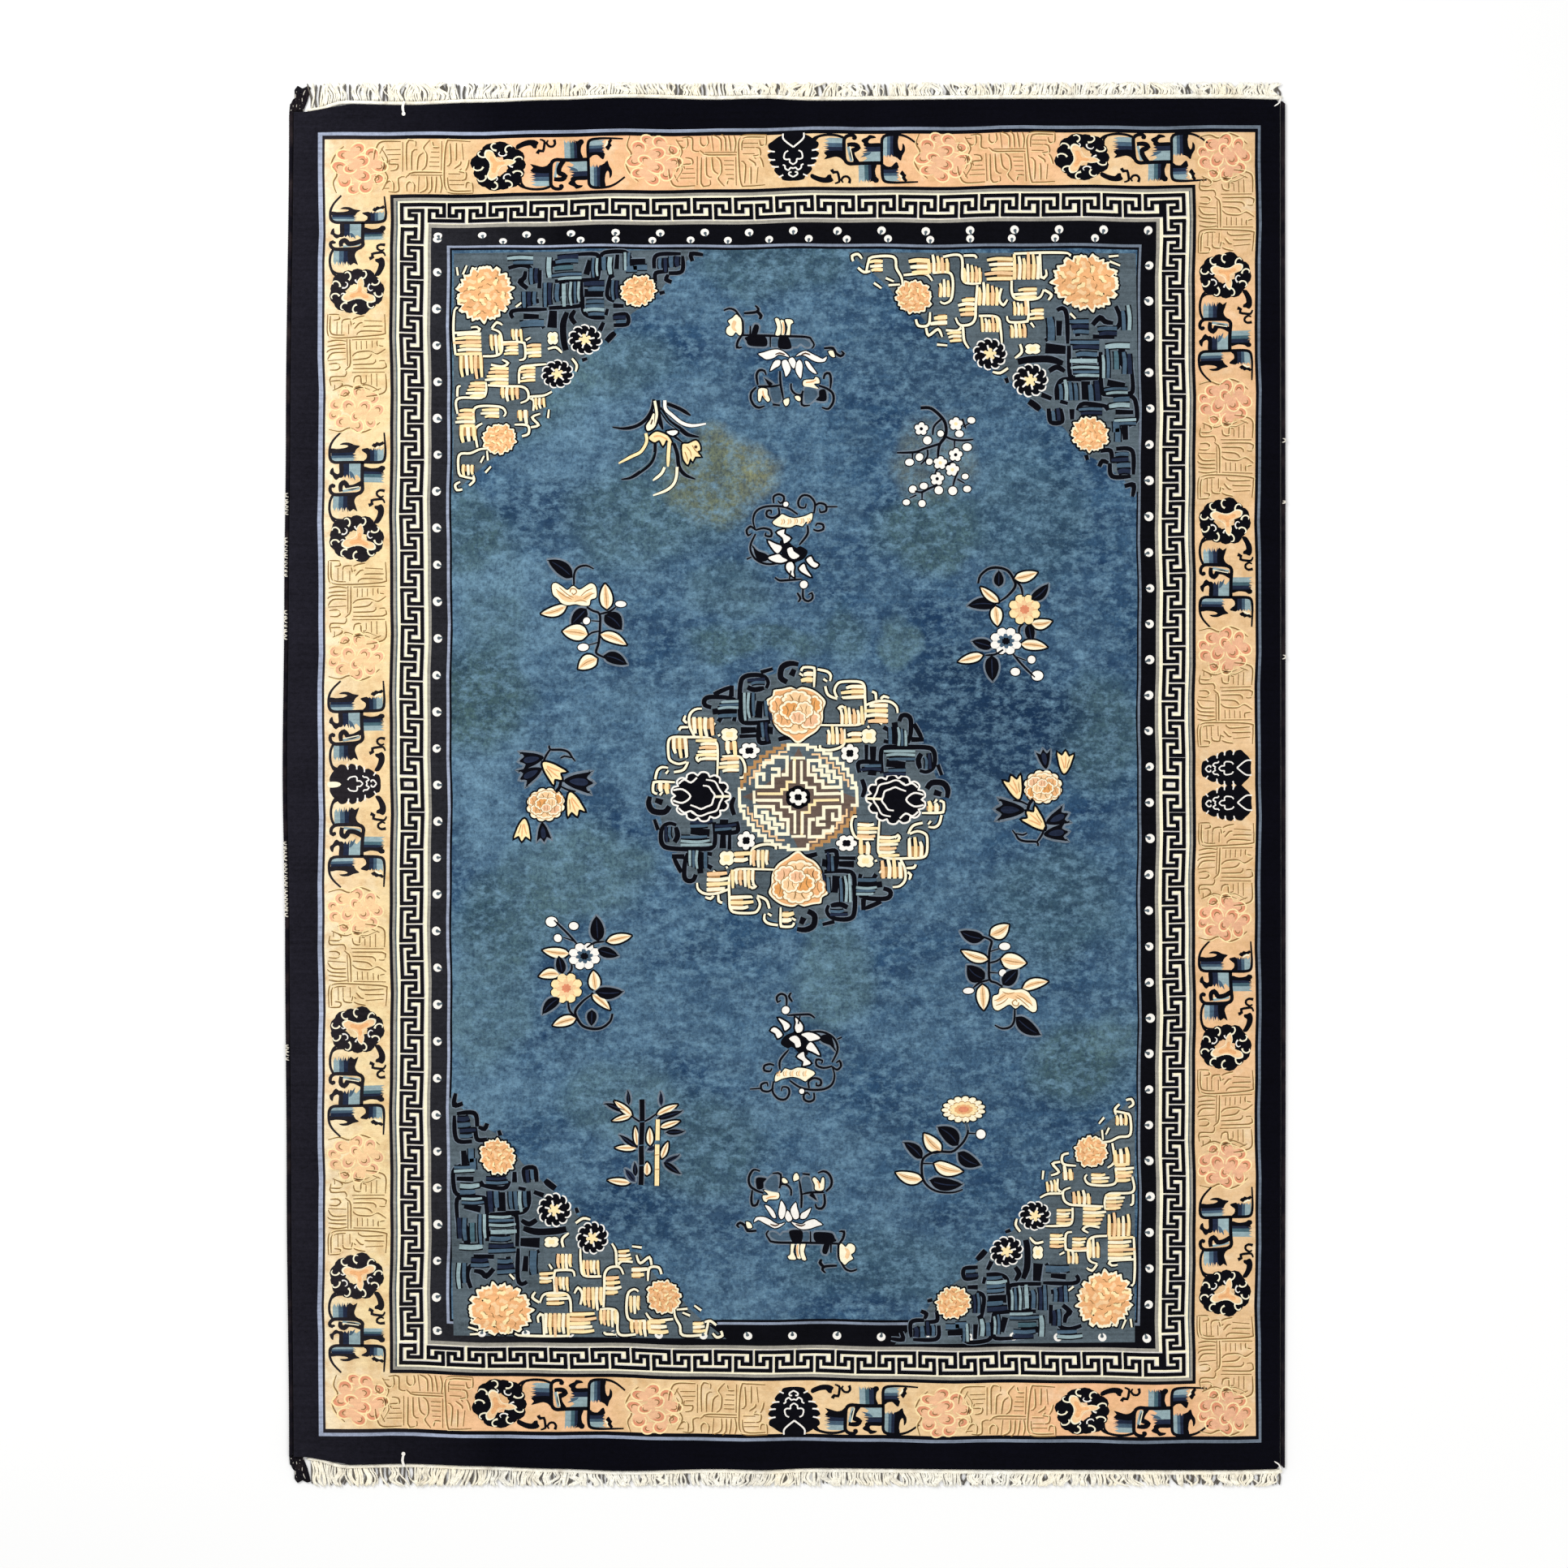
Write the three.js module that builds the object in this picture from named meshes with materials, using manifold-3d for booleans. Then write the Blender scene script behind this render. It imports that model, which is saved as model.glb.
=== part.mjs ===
// A hand-knotted wool rug lying flat, 8 by 11 feet, in the Peking manner.
// Millimetres, +Z up. The origin is on the floor under the rug's middle, +Y points to the end
// that lies at the top when the rug is looked down on, and +X to its right-hand side.

import * as THREE from 'three';
import { mergeVertices } from 'three/addons/utils/BufferGeometryUtils.js';
import Module from 'manifold-3d';

const wasm = await Module();
wasm.setup();

// Driving sizes of the rug
const OVERALL_LENGTH = 3466;      // from the tips of one fringe to the tips of the other
const PILE_THICKNESS = 12;        // knots and cotton foundation together
const GAP = 0.3;                  // between two pieces that touch

// Pile slab
const PILE_EDGE_ROUND = 2.5;      // how far the cut pile rounds off at its edges
const PILE_CORNER = 9;            // the corner knots are worn back by this much

// Selvedges: the outer warps, whipped over with dark wool into a flat cord
const CORD_WIDTH = 12;
const CORD_HEIGHT = 9;
const CORD_FACES = 8;

// Tails: at the two left-hand corners the whipped warps run on past the pile and fray
const TAIL_LENGTH = 66;
const TAIL_THICKNESS = 5;
const TAIL_LAP = 3;               // how far the tail is sewn back over the cord's end

// Fringe: a narrow cotton end web with the warps let out of it in locks
const WEB_LEFT = -1176;           // the web runs along the pile's end between these places
const WEB_RIGHT = 1204;
const WEB_DEPTH = 9;
const WEB_THICKNESS = 4;
const LOCKS_PER_END = 120;
const LOCK_WIDTH = 10.5;
const LOCK_HEIGHT = 4;
const LOCK_ROOT = 5;              // how deep a lock's root sits in the web
const LOCK_TIP = 0.55;            // its width at the tip, as a share of LOCK_WIDTH
const LOCK_CROWN = 0.62;          // its width on top, as a share of its width on the floor
const LOCK_THINNING = 0.35;       // how much of its height it loses by the tip
const LOCK_RAGGED = 7;            // how far the shortest locks stop short
const LOCK_STEPS = 2;

// The locks lean to the right in long slow waves and a little at random, and away from a tail
const LEAN_WAVES = [
  { reach: 10, length: 691, phase: 0 },
  { reach: 4, length: 295, phase: 1 },
];
const LEAN_SCATTER = 3;
const LEAN_FROM_TAIL = 16;
const LEAN_FADE = 60;             // the lean away from the tail dies out over this length

// How finely the edges are followed
const SIDE_REACH = 1640;          // the sides bend only between these places
const SIDE_STEPS = 40;
const END_STEPS = 44;

// Edges of the whole rug, read at a few places and joined smoothly.
// A side stands out from the long middle line, an end from the short one.
const LEFT_SIDE = [
  { along: -1640, out: 1220 },
  { along: -980, out: 1226 },
  { along: -370, out: 1230 },
  { along: 30, out: 1236 },
  { along: 450, out: 1232 },
  { along: 870, out: 1228 },
  { along: 1640, out: 1220 },
];
const RIGHT_SIDE = [
  { along: -1640, out: 1234 },
  { along: -600, out: 1236 },
  { along: 500, out: 1235 },
  { along: 1640, out: 1234 },
];
const ENDS = [
  { along: -1236, out: 1656 },
  { along: -1162, out: 1657 },
  { along: -1082, out: 1676 },
  { along: -932, out: 1673 },
  { along: -752, out: 1679 },
  { along: -572, out: 1685 },
  { along: -392, out: 1691 },
  { along: -160, out: 1686 },
  { along: -50, out: 1689 },
  { along: 60, out: 1684 },
  { along: 600, out: 1688 },
  { along: 1100, out: 1689 },
  { along: 1236, out: 1686 },
];

// The frayed tail, across and onward from the point where the pile's side meets its end
const TAIL = [
  { across: -12, onward: -TAIL_LAP },
  { across: -10, onward: 20 },
  { across: 2, onward: 31 },
  { across: 1, onward: 55 },
  { across: 9, onward: TAIL_LENGTH },
  { across: 21, onward: 59 },
  { across: 33, onward: TAIL_LENGTH - 1 },
  { across: 41, onward: 62 },
  { across: 33, onward: 30 },
  { across: 22, onward: 3 },
  { across: 0, onward: 1.5 },
  { across: -1, onward: -TAIL_LAP },
];

// Smooth reading of an edge table at any place along it
function readEdge(table, place) {
  const next = table.findIndex((row) => row.along >= place);
  if (next < 0) return table[table.length - 1].out;
  if (next === 0) return table[0].out;
  const from = table[next - 1];
  const to = table[next];
  const share = THREE.MathUtils.smoothstep(place, from.along, to.along);
  return THREE.MathUtils.lerp(from.out, to.out, share);
}

// A steady pseudo-random number from 0 to 1 for each whole number
function scatter(index) {
  const wave = Math.sin(index * 12.9898 + 4.1414) * 43758.5453;
  return wave - Math.floor(wave);
}

const leftOut = (y) => readEdge(LEFT_SIDE, y);
const rightOut = (y) => readEdge(RIGHT_SIDE, y);
const endOut = (x) => readEdge(ENDS, x);

// Evenly spaced places from one value to another, both included
function places(from, to, steps) {
  return Array.from({ length: steps + 1 }, (_, i) => from + ((to - from) * i) / steps);
}

const INNER = CORD_WIDTH + GAP;           // from the rug's outer edge to the pile
const sidePlaces = places(-SIDE_REACH, SIDE_REACH, SIDE_STEPS);
const endPlaces = places(WEB_LEFT, WEB_RIGHT, END_STEPS);

// A closed mesh becomes a solid that can be cut and joined
function toSolid(geometry) {
  const bare = geometry.clone();
  bare.deleteAttribute('normal');
  bare.deleteAttribute('uv');
  const merged = mergeVertices(bare, 1e-4);
  return new wasm.Manifold(new wasm.Mesh({
    numProp: 3,
    vertProperties: new Float32Array(merged.attributes.position.array),
    triVerts: new Uint32Array(merged.index.array),
  }));
}

function toGeometry(solid) {
  const mesh = solid.getMesh();
  const geometry = new THREE.BufferGeometry();
  geometry.setAttribute('position', new THREE.BufferAttribute(mesh.vertProperties, 3));
  geometry.setIndex(new THREE.BufferAttribute(mesh.triVerts, 1));
  geometry.computeVertexNormals();
  return geometry;
}

// The outline of the pile, anticlockwise from the lower left corner
function pileOutline() {
  const lowerEnd = endPlaces.map((x) => new THREE.Vector2(x, -endOut(x)));
  const rightSide = sidePlaces.map((y) => new THREE.Vector2(rightOut(y) - INNER, y));
  const upperEnd = endPlaces.map((x) => new THREE.Vector2(x, endOut(x))).reverse();
  const leftSide = sidePlaces.map((y) => new THREE.Vector2(INNER - leftOut(y), y)).reverse();
  const rightEdge = rightOut(SIDE_REACH) - INNER;
  const leftEdge = INNER - leftOut(SIDE_REACH);
  const rightEnd = endOut(rightEdge);
  const leftEnd = endOut(leftEdge);
  return [
    ...lowerEnd,
    new THREE.Vector2(rightEdge - PILE_CORNER, -rightEnd),
    new THREE.Vector2(rightEdge, PILE_CORNER - rightEnd),
    ...rightSide,
    new THREE.Vector2(rightEdge, rightEnd - PILE_CORNER),
    new THREE.Vector2(rightEdge - PILE_CORNER, rightEnd),
    ...upperEnd,
    new THREE.Vector2(leftEdge, leftEnd),
    ...leftSide,
    new THREE.Vector2(leftEdge, -leftEnd),
  ];
}

function pileGeometry() {
  const shape = new THREE.Shape(pileOutline());
  const geometry = new THREE.ExtrudeGeometry(shape, {
    depth: PILE_THICKNESS - 2 * PILE_EDGE_ROUND,
    bevelEnabled: true,
    bevelThickness: PILE_EDGE_ROUND,
    bevelSize: PILE_EDGE_ROUND,
    bevelOffset: -PILE_EDGE_ROUND,
    bevelSegments: 2,
  });
  geometry.translate(0, 0, PILE_EDGE_ROUND);
  return geometry;
}

// Moves each point of a shape by a rule, and closes it again
function reshape(geometry, rule) {
  const points = geometry.attributes.position;
  const point = new THREE.Vector3();
  for (let i = 0; i < points.count; i += 1) {
    point.fromBufferAttribute(points, i);
    points.setXYZ(i, ...rule(point));
  }
  return geometry;
}

// The whipped cord along one side, eight-sided and resting on its flat underside.
// The side is -1 for the left-hand selvedge and 1 for the right-hand one.
function cordGeometry(side, end) {
  const out = side < 0 ? leftOut : rightOut;
  const stations = [-end, ...sidePlaces, end];
  const steps = stations.length - 1;
  const turn = Math.PI / CORD_FACES;
  const toFlat = Math.cos(turn);
  const round = new THREE.CylinderGeometry(1, 1, 1, CORD_FACES, steps, false, turn);
  return reshape(round, ({ x, y, z }) => {
    const place = stations[Math.round((y + 0.5) * steps)];
    const middle = side * (out(place) - CORD_WIDTH / 2);
    return [
      middle + ((x / toFlat) * CORD_WIDTH) / 2,
      place,
      ((z / toFlat + 1) * CORD_HEIGHT) / 2,
    ];
  });
}

// One frayed tail. The end is 1 for the top of the rug and -1 for the bottom.
function tailGeometry(end) {
  const side = INNER - leftOut(SIDE_REACH);
  const pileEnd = endOut(side);
  const points = TAIL.map((row) => new THREE.Vector2(side + row.across, end * (pileEnd + row.onward)));
  return new THREE.ExtrudeGeometry(new THREE.Shape(points), {
    depth: TAIL_THICKNESS,
    bevelEnabled: false,
  });
}

function leftSelvedge() {
  const pileEnd = endOut(WEB_LEFT);
  let solid = toSolid(cordGeometry(-1, pileEnd));
  for (const end of [1, -1]) solid = solid.add(toSolid(tailGeometry(end)));
  return toGeometry(solid);
}

function rightSelvedge() {
  const pileEnd = endOut(WEB_RIGHT);
  return toGeometry(toSolid(cordGeometry(1, pileEnd - PILE_CORNER / 2)));
}

// The woven end web, a narrow strip that follows the pile's end
function webGeometry(end) {
  const near = endPlaces.map((x) => new THREE.Vector2(x, end * (endOut(x) + GAP)));
  const far = endPlaces.map((x) => new THREE.Vector2(x, end * (endOut(x) + GAP + WEB_DEPTH)));
  return new THREE.ExtrudeGeometry(new THREE.Shape([...near, ...far.reverse()]), {
    depth: WEB_THICKNESS,
    bevelEnabled: false,
  });
}

// How far a lock's tip lies to the right of its root
function lean(x, index) {
  const waves = LEAN_WAVES.map((wave) => (
    wave.reach * Math.sin((2 * Math.PI * x) / wave.length + wave.phase)
  ));
  const fromTail = LEAN_FROM_TAIL * Math.exp((WEB_LEFT - x) / LEAN_FADE);
  return waves[0] + waves[1] + fromTail + LEAN_SCATTER * (scatter(index) - 0.5);
}

// One lock, four-sided and level on the floor, tapering to a blunt tip
function lockGeometry(end, index) {
  const pitch = (WEB_RIGHT - WEB_LEFT - 2 * LOCK_WIDTH) / (LOCKS_PER_END - 1);
  const rootX = WEB_LEFT + LOCK_WIDTH + pitch * index;
  const rootOut = endOut(rootX) + GAP + WEB_DEPTH - LOCK_ROOT;
  const shortBy = index % 4 === 1 ? 0 : LOCK_RAGGED * scatter(index + LOCKS_PER_END);
  const length = OVERALL_LENGTH / 2 - rootOut - shortBy;
  const sway = lean(rootX, index);
  const square = new THREE.CylinderGeometry(LOCK_TIP, 1, 1, 4, LOCK_STEPS, false, Math.PI / 4);
  return reshape(square, ({ x, y, z }) => {
    const share = y + 0.5;
    const isTop = z > 1e-6;
    const isCentre = Math.abs(x) < 1e-6;
    const across = (x / Math.SQRT1_2) * (isTop ? LOCK_CROWN : 1) * (LOCK_WIDTH / 2);
    const high = LOCK_HEIGHT * (1 - LOCK_THINNING * share);
    const up = isTop ? high : 0;
    return [
      rootX + sway * share * share + across,
      end * (rootOut + length * share),
      isCentre ? high / 2 : up,
    ];
  });
}

// A lock for the bottom end is turned inside out by its mirrored length, so its faces are flipped
function flipped(geometry) {
  const index = geometry.index.array;
  for (let i = 0; i < index.length; i += 3) [index[i], index[i + 1]] = [index[i + 1], index[i]];
  return geometry;
}

function fringeGeometry(end) {
  let solid = toSolid(webGeometry(end));
  for (let index = 0; index < LOCKS_PER_END; index += 1) {
    const lock = lockGeometry(end, index);
    solid = solid.add(toSolid(end > 0 ? lock : flipped(lock)));
  }
  return toGeometry(solid);
}

const navyWool = new THREE.MeshStandardMaterial({ color: 0x2f4a6b, roughness: 0.95, metalness: 0 });
const darkWool = new THREE.MeshStandardMaterial({ color: 0x23222b, roughness: 0.95, metalness: 0 });
const rawCotton = new THREE.MeshStandardMaterial({ color: 0xf2ecd6, roughness: 0.9, metalness: 0 });

function piece(name, geometry, material) {
  const mesh = new THREE.Mesh(geometry, material);
  mesh.name = name;
  return mesh;
}

const group = new THREE.Group();
group.add(
  piece('rug_pile', pileGeometry(), navyWool),
  piece('selvedge_left', leftSelvedge(), darkWool),
  piece('selvedge_right', rightSelvedge(), darkWool),
  piece('fringe_top', fringeGeometry(1), rawCotton),
  piece('fringe_bottom', fringeGeometry(-1), rawCotton),
);

export default group;
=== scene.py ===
# %% [markdown]
# # A Peking rug, laid flat
# The rug is one knotted wool cloth with a pattern of borders, a medallion and flower sprays.
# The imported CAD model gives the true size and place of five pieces: the pile, two side cords
# and two fringes. Blender adds what the eye sees: dyed knots, clipped relief, worn colour and
# loose warps. The frame is loaded first, so that every later piece can be placed by it.

# %% Load the frame
import math
from contextlib import contextmanager

import bpy
import numpy as np
from mathutils import Matrix, Vector


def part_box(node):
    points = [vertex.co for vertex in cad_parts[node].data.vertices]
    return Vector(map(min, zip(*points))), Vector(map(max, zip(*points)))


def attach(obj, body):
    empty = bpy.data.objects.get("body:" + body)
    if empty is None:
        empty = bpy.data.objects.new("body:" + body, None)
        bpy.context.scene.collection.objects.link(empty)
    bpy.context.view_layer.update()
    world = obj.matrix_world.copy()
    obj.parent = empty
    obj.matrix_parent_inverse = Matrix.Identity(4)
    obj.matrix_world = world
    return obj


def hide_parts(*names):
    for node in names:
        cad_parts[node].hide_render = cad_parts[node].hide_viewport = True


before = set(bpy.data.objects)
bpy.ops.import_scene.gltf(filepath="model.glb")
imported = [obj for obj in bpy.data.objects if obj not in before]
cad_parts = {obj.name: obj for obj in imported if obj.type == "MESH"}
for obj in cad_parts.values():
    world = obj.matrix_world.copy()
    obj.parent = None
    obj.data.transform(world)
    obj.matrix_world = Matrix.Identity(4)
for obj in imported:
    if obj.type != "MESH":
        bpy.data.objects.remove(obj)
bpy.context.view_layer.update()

# %% [markdown]
# The photograph was taken straight down, so the camera hangs over the rug and looks at the
# floor. A long lens at a good height keeps the sides parallel. The picture is square, and its
# width on the floor follows from the chart that the next cells use: 1932 squares of 2 mm.

# %% Camera
STEP = 0.002                 # one square of the weaver's chart, in metres
CHART_SIZE = 1932            # squares across the picture
MIDDLE_COL = 966.0           # the chart square under the rug's middle
MIDDLE_ROW = 966.5
LENS_MM = 70
SENSOR_MM = 36
TRUE_HEIGHT = 0.005          # the height at which a chart square is seen at its own size
SIGHT = 100                  # how far the camera sees, in metres
view_width = CHART_SIZE * STEP
camera_data = bpy.data.cameras.new("camera")
camera_data.lens = LENS_MM
camera_data.sensor_width = SENSOR_MM
camera = bpy.data.objects.new("camera", camera_data)
camera.location = (0, STEP / 2, view_width * LENS_MM / SENSOR_MM + TRUE_HEIGHT)
camera_data.clip_end = SIGHT
bpy.context.collection.objects.link(camera)
bpy.context.scene.camera = camera
print("camera height", round(camera.location.z, 3), "m")

# %% [markdown]
# A plain pale floor and soft studio light. One big lamp leans from the upper left, so that
# the clipped relief throws a faint shade, and the white surroundings fill in the rest.

# %% Floor and light
FLOOR_SIDE = 18.0
FLOOR_COLOUR = (0.93, 0.93, 0.925, 1)
FLOOR_ROUGH = 0.8
FLOOR_SHINE = 0.1
ROOM_LIGHT = 0.66            # strength of the white surroundings

pale_floor = bpy.data.materials.new("pale_floor")
pale_floor.use_nodes = True
floor_shader = pale_floor.node_tree.nodes["Principled BSDF"]
floor_shader.inputs["Base Color"].default_value = FLOOR_COLOUR
floor_shader.inputs["Roughness"].default_value = FLOOR_ROUGH
floor_shader.inputs["Specular IOR Level"].default_value = FLOOR_SHINE

bpy.ops.object.select_all(action="DESELECT")
bpy.ops.mesh.primitive_plane_add(size=FLOOR_SIDE, location=(0, 0, 0))
floor = bpy.context.object
floor.name = "floor"
floor.data.materials.append(pale_floor)

LAMPS = [
    # name, place, size, power
    ("key_lamp", (-3.6, 3.4, 5.2), 3.0, 270),
    ("fill_lamp", (3.8, -2.6, 5.6), 4.0, 105),
]
for lamp_name, place, size, power in LAMPS:
    lamp_data = bpy.data.lights.new(lamp_name, "AREA")
    lamp_data.size = size
    lamp_data.energy = power
    lamp = bpy.data.objects.new(lamp_name, lamp_data)
    lamp.location = place
    lamp.rotation_mode = "QUATERNION"
    lamp.rotation_quaternion = (-Vector(place)).to_track_quat("-Z", "Y")
    bpy.context.collection.objects.link(lamp)

world = bpy.data.worlds.new("studio")
world.use_nodes = True
world.node_tree.nodes["Background"].inputs["Color"].default_value = (1, 1, 1, 1)
world.node_tree.nodes["Background"].inputs["Strength"].default_value = ROOM_LIGHT
bpy.context.scene.world = world
bpy.context.scene.view_settings.view_transform = "Standard"
print("lamps:", [row[0] for row in LAMPS])

# %% [markdown]
# ## Wool
# Hand-spun wool is never one flat colour. Each dye lot differs a little (weavers call the
# streaks abrash), they run across the rug because it is knotted row by row, the pile leans
# and catches the light in patches, and single fibres show close up. One node group holds all
# of that for every dye. It takes the dye's colour and gives back a varied colour and a height
# for the bump, and each material keeps its own shader.

# %% Node helpers
def link(tree, out_socket, in_socket):
    tree.links.new(out_socket, in_socket)


def add_node(tree, kind, **values):
    node = tree.nodes.new(kind)
    for key, value in values.items():
        if key.startswith("in_"):
            name = key[3:]
            socket = node.inputs[int(name)] if name.isdigit() else node.inputs[name]
            socket.default_value = value
        else:
            setattr(node, key, value)
    return node


def noise(tree, coordinate, stretch, scale, detail, rough=0.55):
    """A noise read on stretched object coordinates. Returns its value socket."""
    mapping = add_node(tree, "ShaderNodeMapping")
    mapping.inputs["Scale"].default_value = stretch
    link(tree, coordinate, mapping.inputs["Vector"])
    texture = add_node(tree, "ShaderNodeTexNoise", in_Scale=scale, in_Detail=detail)
    texture.inputs["Roughness"].default_value = rough
    link(tree, mapping.outputs["Vector"], texture.inputs["Vector"])
    return texture.outputs["Fac"]


def remap(tree, value, low, high, to_low=0.0, to_high=1.0):
    node = add_node(tree, "ShaderNodeMapRange")
    node.inputs["From Min"].default_value = low
    node.inputs["From Max"].default_value = high
    node.inputs["To Min"].default_value = to_low
    node.inputs["To Max"].default_value = to_high
    link(tree, value, node.inputs["Value"])
    return node.outputs["Result"]


def feed(tree, socket, value):
    """Gives an input another node's output, a number or a plain colour."""
    if isinstance(value, bpy.types.NodeSocket):
        link(tree, value, socket)
    elif isinstance(value, (int, float)):
        socket.default_value = value
    else:
        socket.default_value = (*value, 1)


def mix(tree, factor, first, second):
    """Mixes two colours. Each may be a socket or a plain colour, the factor a socket or number."""
    node = add_node(tree, "ShaderNodeMix", data_type="RGBA")
    for value, socket in ((factor, node.inputs[0]), (first, node.inputs[6]), (second, node.inputs[7])):
        feed(tree, socket, value)
    return node.outputs[2]


def maths(tree, operation, first, second):
    node = add_node(tree, "ShaderNodeMath", operation=operation)
    feed(tree, node.inputs[0], first)
    feed(tree, node.inputs[1], second)
    return node.outputs[0]


print("node helpers made for Blender", bpy.app.version_string)

# %% The wool group
wool = bpy.data.node_groups.new("wool_fibres", "ShaderNodeTree")
for name, kind, direction, value in [
    ("Dye", "NodeSocketColor", "INPUT", (0.5, 0.5, 0.5, 1)),
    ("Abrash", "NodeSocketFloat", "INPUT", 0.3),
    ("Fuzz", "NodeSocketFloat", "INPUT", 0.3),
    ("Colour", "NodeSocketColor", "OUTPUT", None),
    ("Height", "NodeSocketFloat", "OUTPUT", None),
]:
    made = wool.interface.new_socket(name, in_out=direction, socket_type=kind)
    if value is not None:
        made.default_value = value
wool_in = add_node(wool, "NodeGroupInput")
wool_out = add_node(wool, "NodeGroupOutput")
place_node = add_node(wool, "ShaderNodeTexCoord")
here = place_node.outputs["Object"]
EVEN = (1, 1, 1)
WOOL_NOISES = [
    # stretch, scale, detail, then the noise value that counts as minus one and as one
    ((0.9, 26, 1), 5.0, 4, 0.3, 0.7),
    (EVEN, 9.0, 4, 0.3, 0.7),
    (EVEN, 330.0, 2, 0.25, 0.75),
    ((1, 1.2, 1), 95.0, 2, 0.25, 0.75),
]
streaks, patches, fibres, tufts = (
    remap(wool, noise(wool, here, stretch, scale, detail), low, high, -1, 1)
    for stretch, scale, detail, low, high in WOOL_NOISES
)
# the streaks are abrash; the patches are painted light, where leaning pile catches the light
shade = maths(wool, "MULTIPLY", maths(wool, "ADD", streaks, patches), wool_in.outputs["Abrash"])
grain = maths(wool, "MULTIPLY", maths(wool, "ADD", fibres, tufts), wool_in.outputs["Fuzz"])
light = maths(wool, "ADD", 1.0, maths(wool, "MULTIPLY", maths(wool, "ADD", shade, grain), 0.5))
varied = add_node(wool, "ShaderNodeVectorMath", operation="SCALE")
link(wool, wool_in.outputs["Dye"], varied.inputs[0])
link(wool, light, varied.inputs["Scale"])
link(wool, varied.outputs["Vector"], wool_out.inputs["Colour"])
height = maths(wool, "ADD", maths(wool, "MULTIPLY", tufts, 0.6), maths(wool, "MULTIPLY", fibres, 0.4))
link(wool, height, wool_out.inputs["Height"])
print("wool group nodes:", len(wool.nodes))

# %% [markdown]
# Each dye is a material of its own. The table gives the colour as a screen value from 0 to
# 255, because that is how a dye card is read, and a helper turns it into the linear value
# that a renderer needs. Wool is rough and has a soft sheen at grazing angles.

# %% Dyes
WOOL_ROUGH = 0.92
WOOL_SHINE = 0.04
SHEEN = 0.04
SHEEN_ROUGH = 0.5
FIBRE_DEPTH = 0.0015         # how deep the bumps between fibres look, in metres
DYES = {
    # name: (screen colour, abrash and painted sheen patches, fuzz)
    "navy": ((32, 40, 60), 0.4, 0.35),
    "slate": ((70, 92, 110), 0.4, 0.3),
    "mist": ((142, 164, 168), 0.3, 0.25),
    "cream": ((246, 238, 208), 0.08, 0.12),
    "bone": ((242, 238, 230), 0.06, 0.1),
    "pewter": ((150, 146, 136), 0.25, 0.3),
    "apricot": ((232, 174, 120), 0.2, 0.2),
    "salmon": ((222, 140, 104), 0.2, 0.25),
    "tan": ((176, 132, 84), 0.25, 0.25),
    "straw": ((248, 224, 170), 0.12, 0.15),
    "umber": ((84, 58, 40), 0.25, 0.3),
    "sage": ((70, 98, 108), 0.4, 0.3),
    "dove": ((204, 200, 196), 0.15, 0.2),
    "peach": ((240, 200, 152), 0.15, 0.18),
    # the next dye is a painted highlight, for the clipped rims round dark motifs
    "haze": ((108, 120, 132), 0.3, 0.3),
    "twilight": ((82, 94, 101), 0.45, 0.4),
    "bark": ((98, 82, 74), 0.3, 0.3),
    "rose": ((220, 146, 112), 0.12, 0.2),
    "shell": ((230, 176, 140), 0.12, 0.2),
    "amber": ((224, 158, 92), 0.2, 0.2),
    # the next dye is a painted shade, for clipped grooves, folds and veins
    "carve": ((136, 104, 62), 0.1, 0.15),
    "blush": ((234, 184, 144), 0.12, 0.15),
}


def linear(colour):
    """The usual screen curve, from 0 to 255 a channel to a linear value."""
    return tuple(((c / 255 + 0.055) / 1.055) ** 2.4 if c > 10.3 else c / 255 / 12.92 for c in colour)


def wool_material(name, colour, abrash_and_sheen, fuzz, bump=0.5):
    """A wool of one dye. The colour is a screen colour, or a function that makes a socket."""
    material = bpy.data.materials.new(name)
    material.use_nodes = True
    tree = material.node_tree
    shader = tree.nodes["Principled BSDF"]
    shader.inputs["Roughness"].default_value = WOOL_ROUGH
    shader.inputs["Specular IOR Level"].default_value = WOOL_SHINE
    shader.inputs["Sheen Weight"].default_value = SHEEN
    shader.inputs["Sheen Roughness"].default_value = SHEEN_ROUGH
    group = add_node(tree, "ShaderNodeGroup", node_tree=wool)
    group.inputs["Abrash"].default_value = abrash_and_sheen
    group.inputs["Fuzz"].default_value = fuzz
    if callable(colour):
        link(tree, colour(tree), group.inputs["Dye"])
    else:
        group.inputs["Dye"].default_value = (*linear(colour), 1)
    link(tree, group.outputs["Colour"], shader.inputs["Base Color"])
    relief = add_node(tree, "ShaderNodeBump", in_Strength=bump, in_Distance=FIBRE_DEPTH)
    link(tree, group.outputs["Height"], relief.inputs["Height"])
    link(tree, relief.outputs["Normal"], shader.inputs["Normal"])
    return material


dye_materials = {
    name: wool_material("wool_" + name, colour, abrash_and_sheen, fuzz)
    for name, (colour, abrash_and_sheen, fuzz) in DYES.items()
}
print("dyes:", ", ".join(dye_materials))

# %% [markdown]
# ## The weaver's chart
# A pattern like this is drawn on squared paper first, one square for 2 mm of cloth. Columns
# and rows are counted as on the photograph, so column 966 is the rug's middle. A painted
# picture would blur in close views, so each patch of dye is a real inlay instead: a thin
# closed prism whose top stands up to 1.7 mm over the ground, as clipped pile does. A small pen
# keeps track of where a motif is drawn, how it is turned and mirrored, and which piece it
# belongs to.

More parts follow.
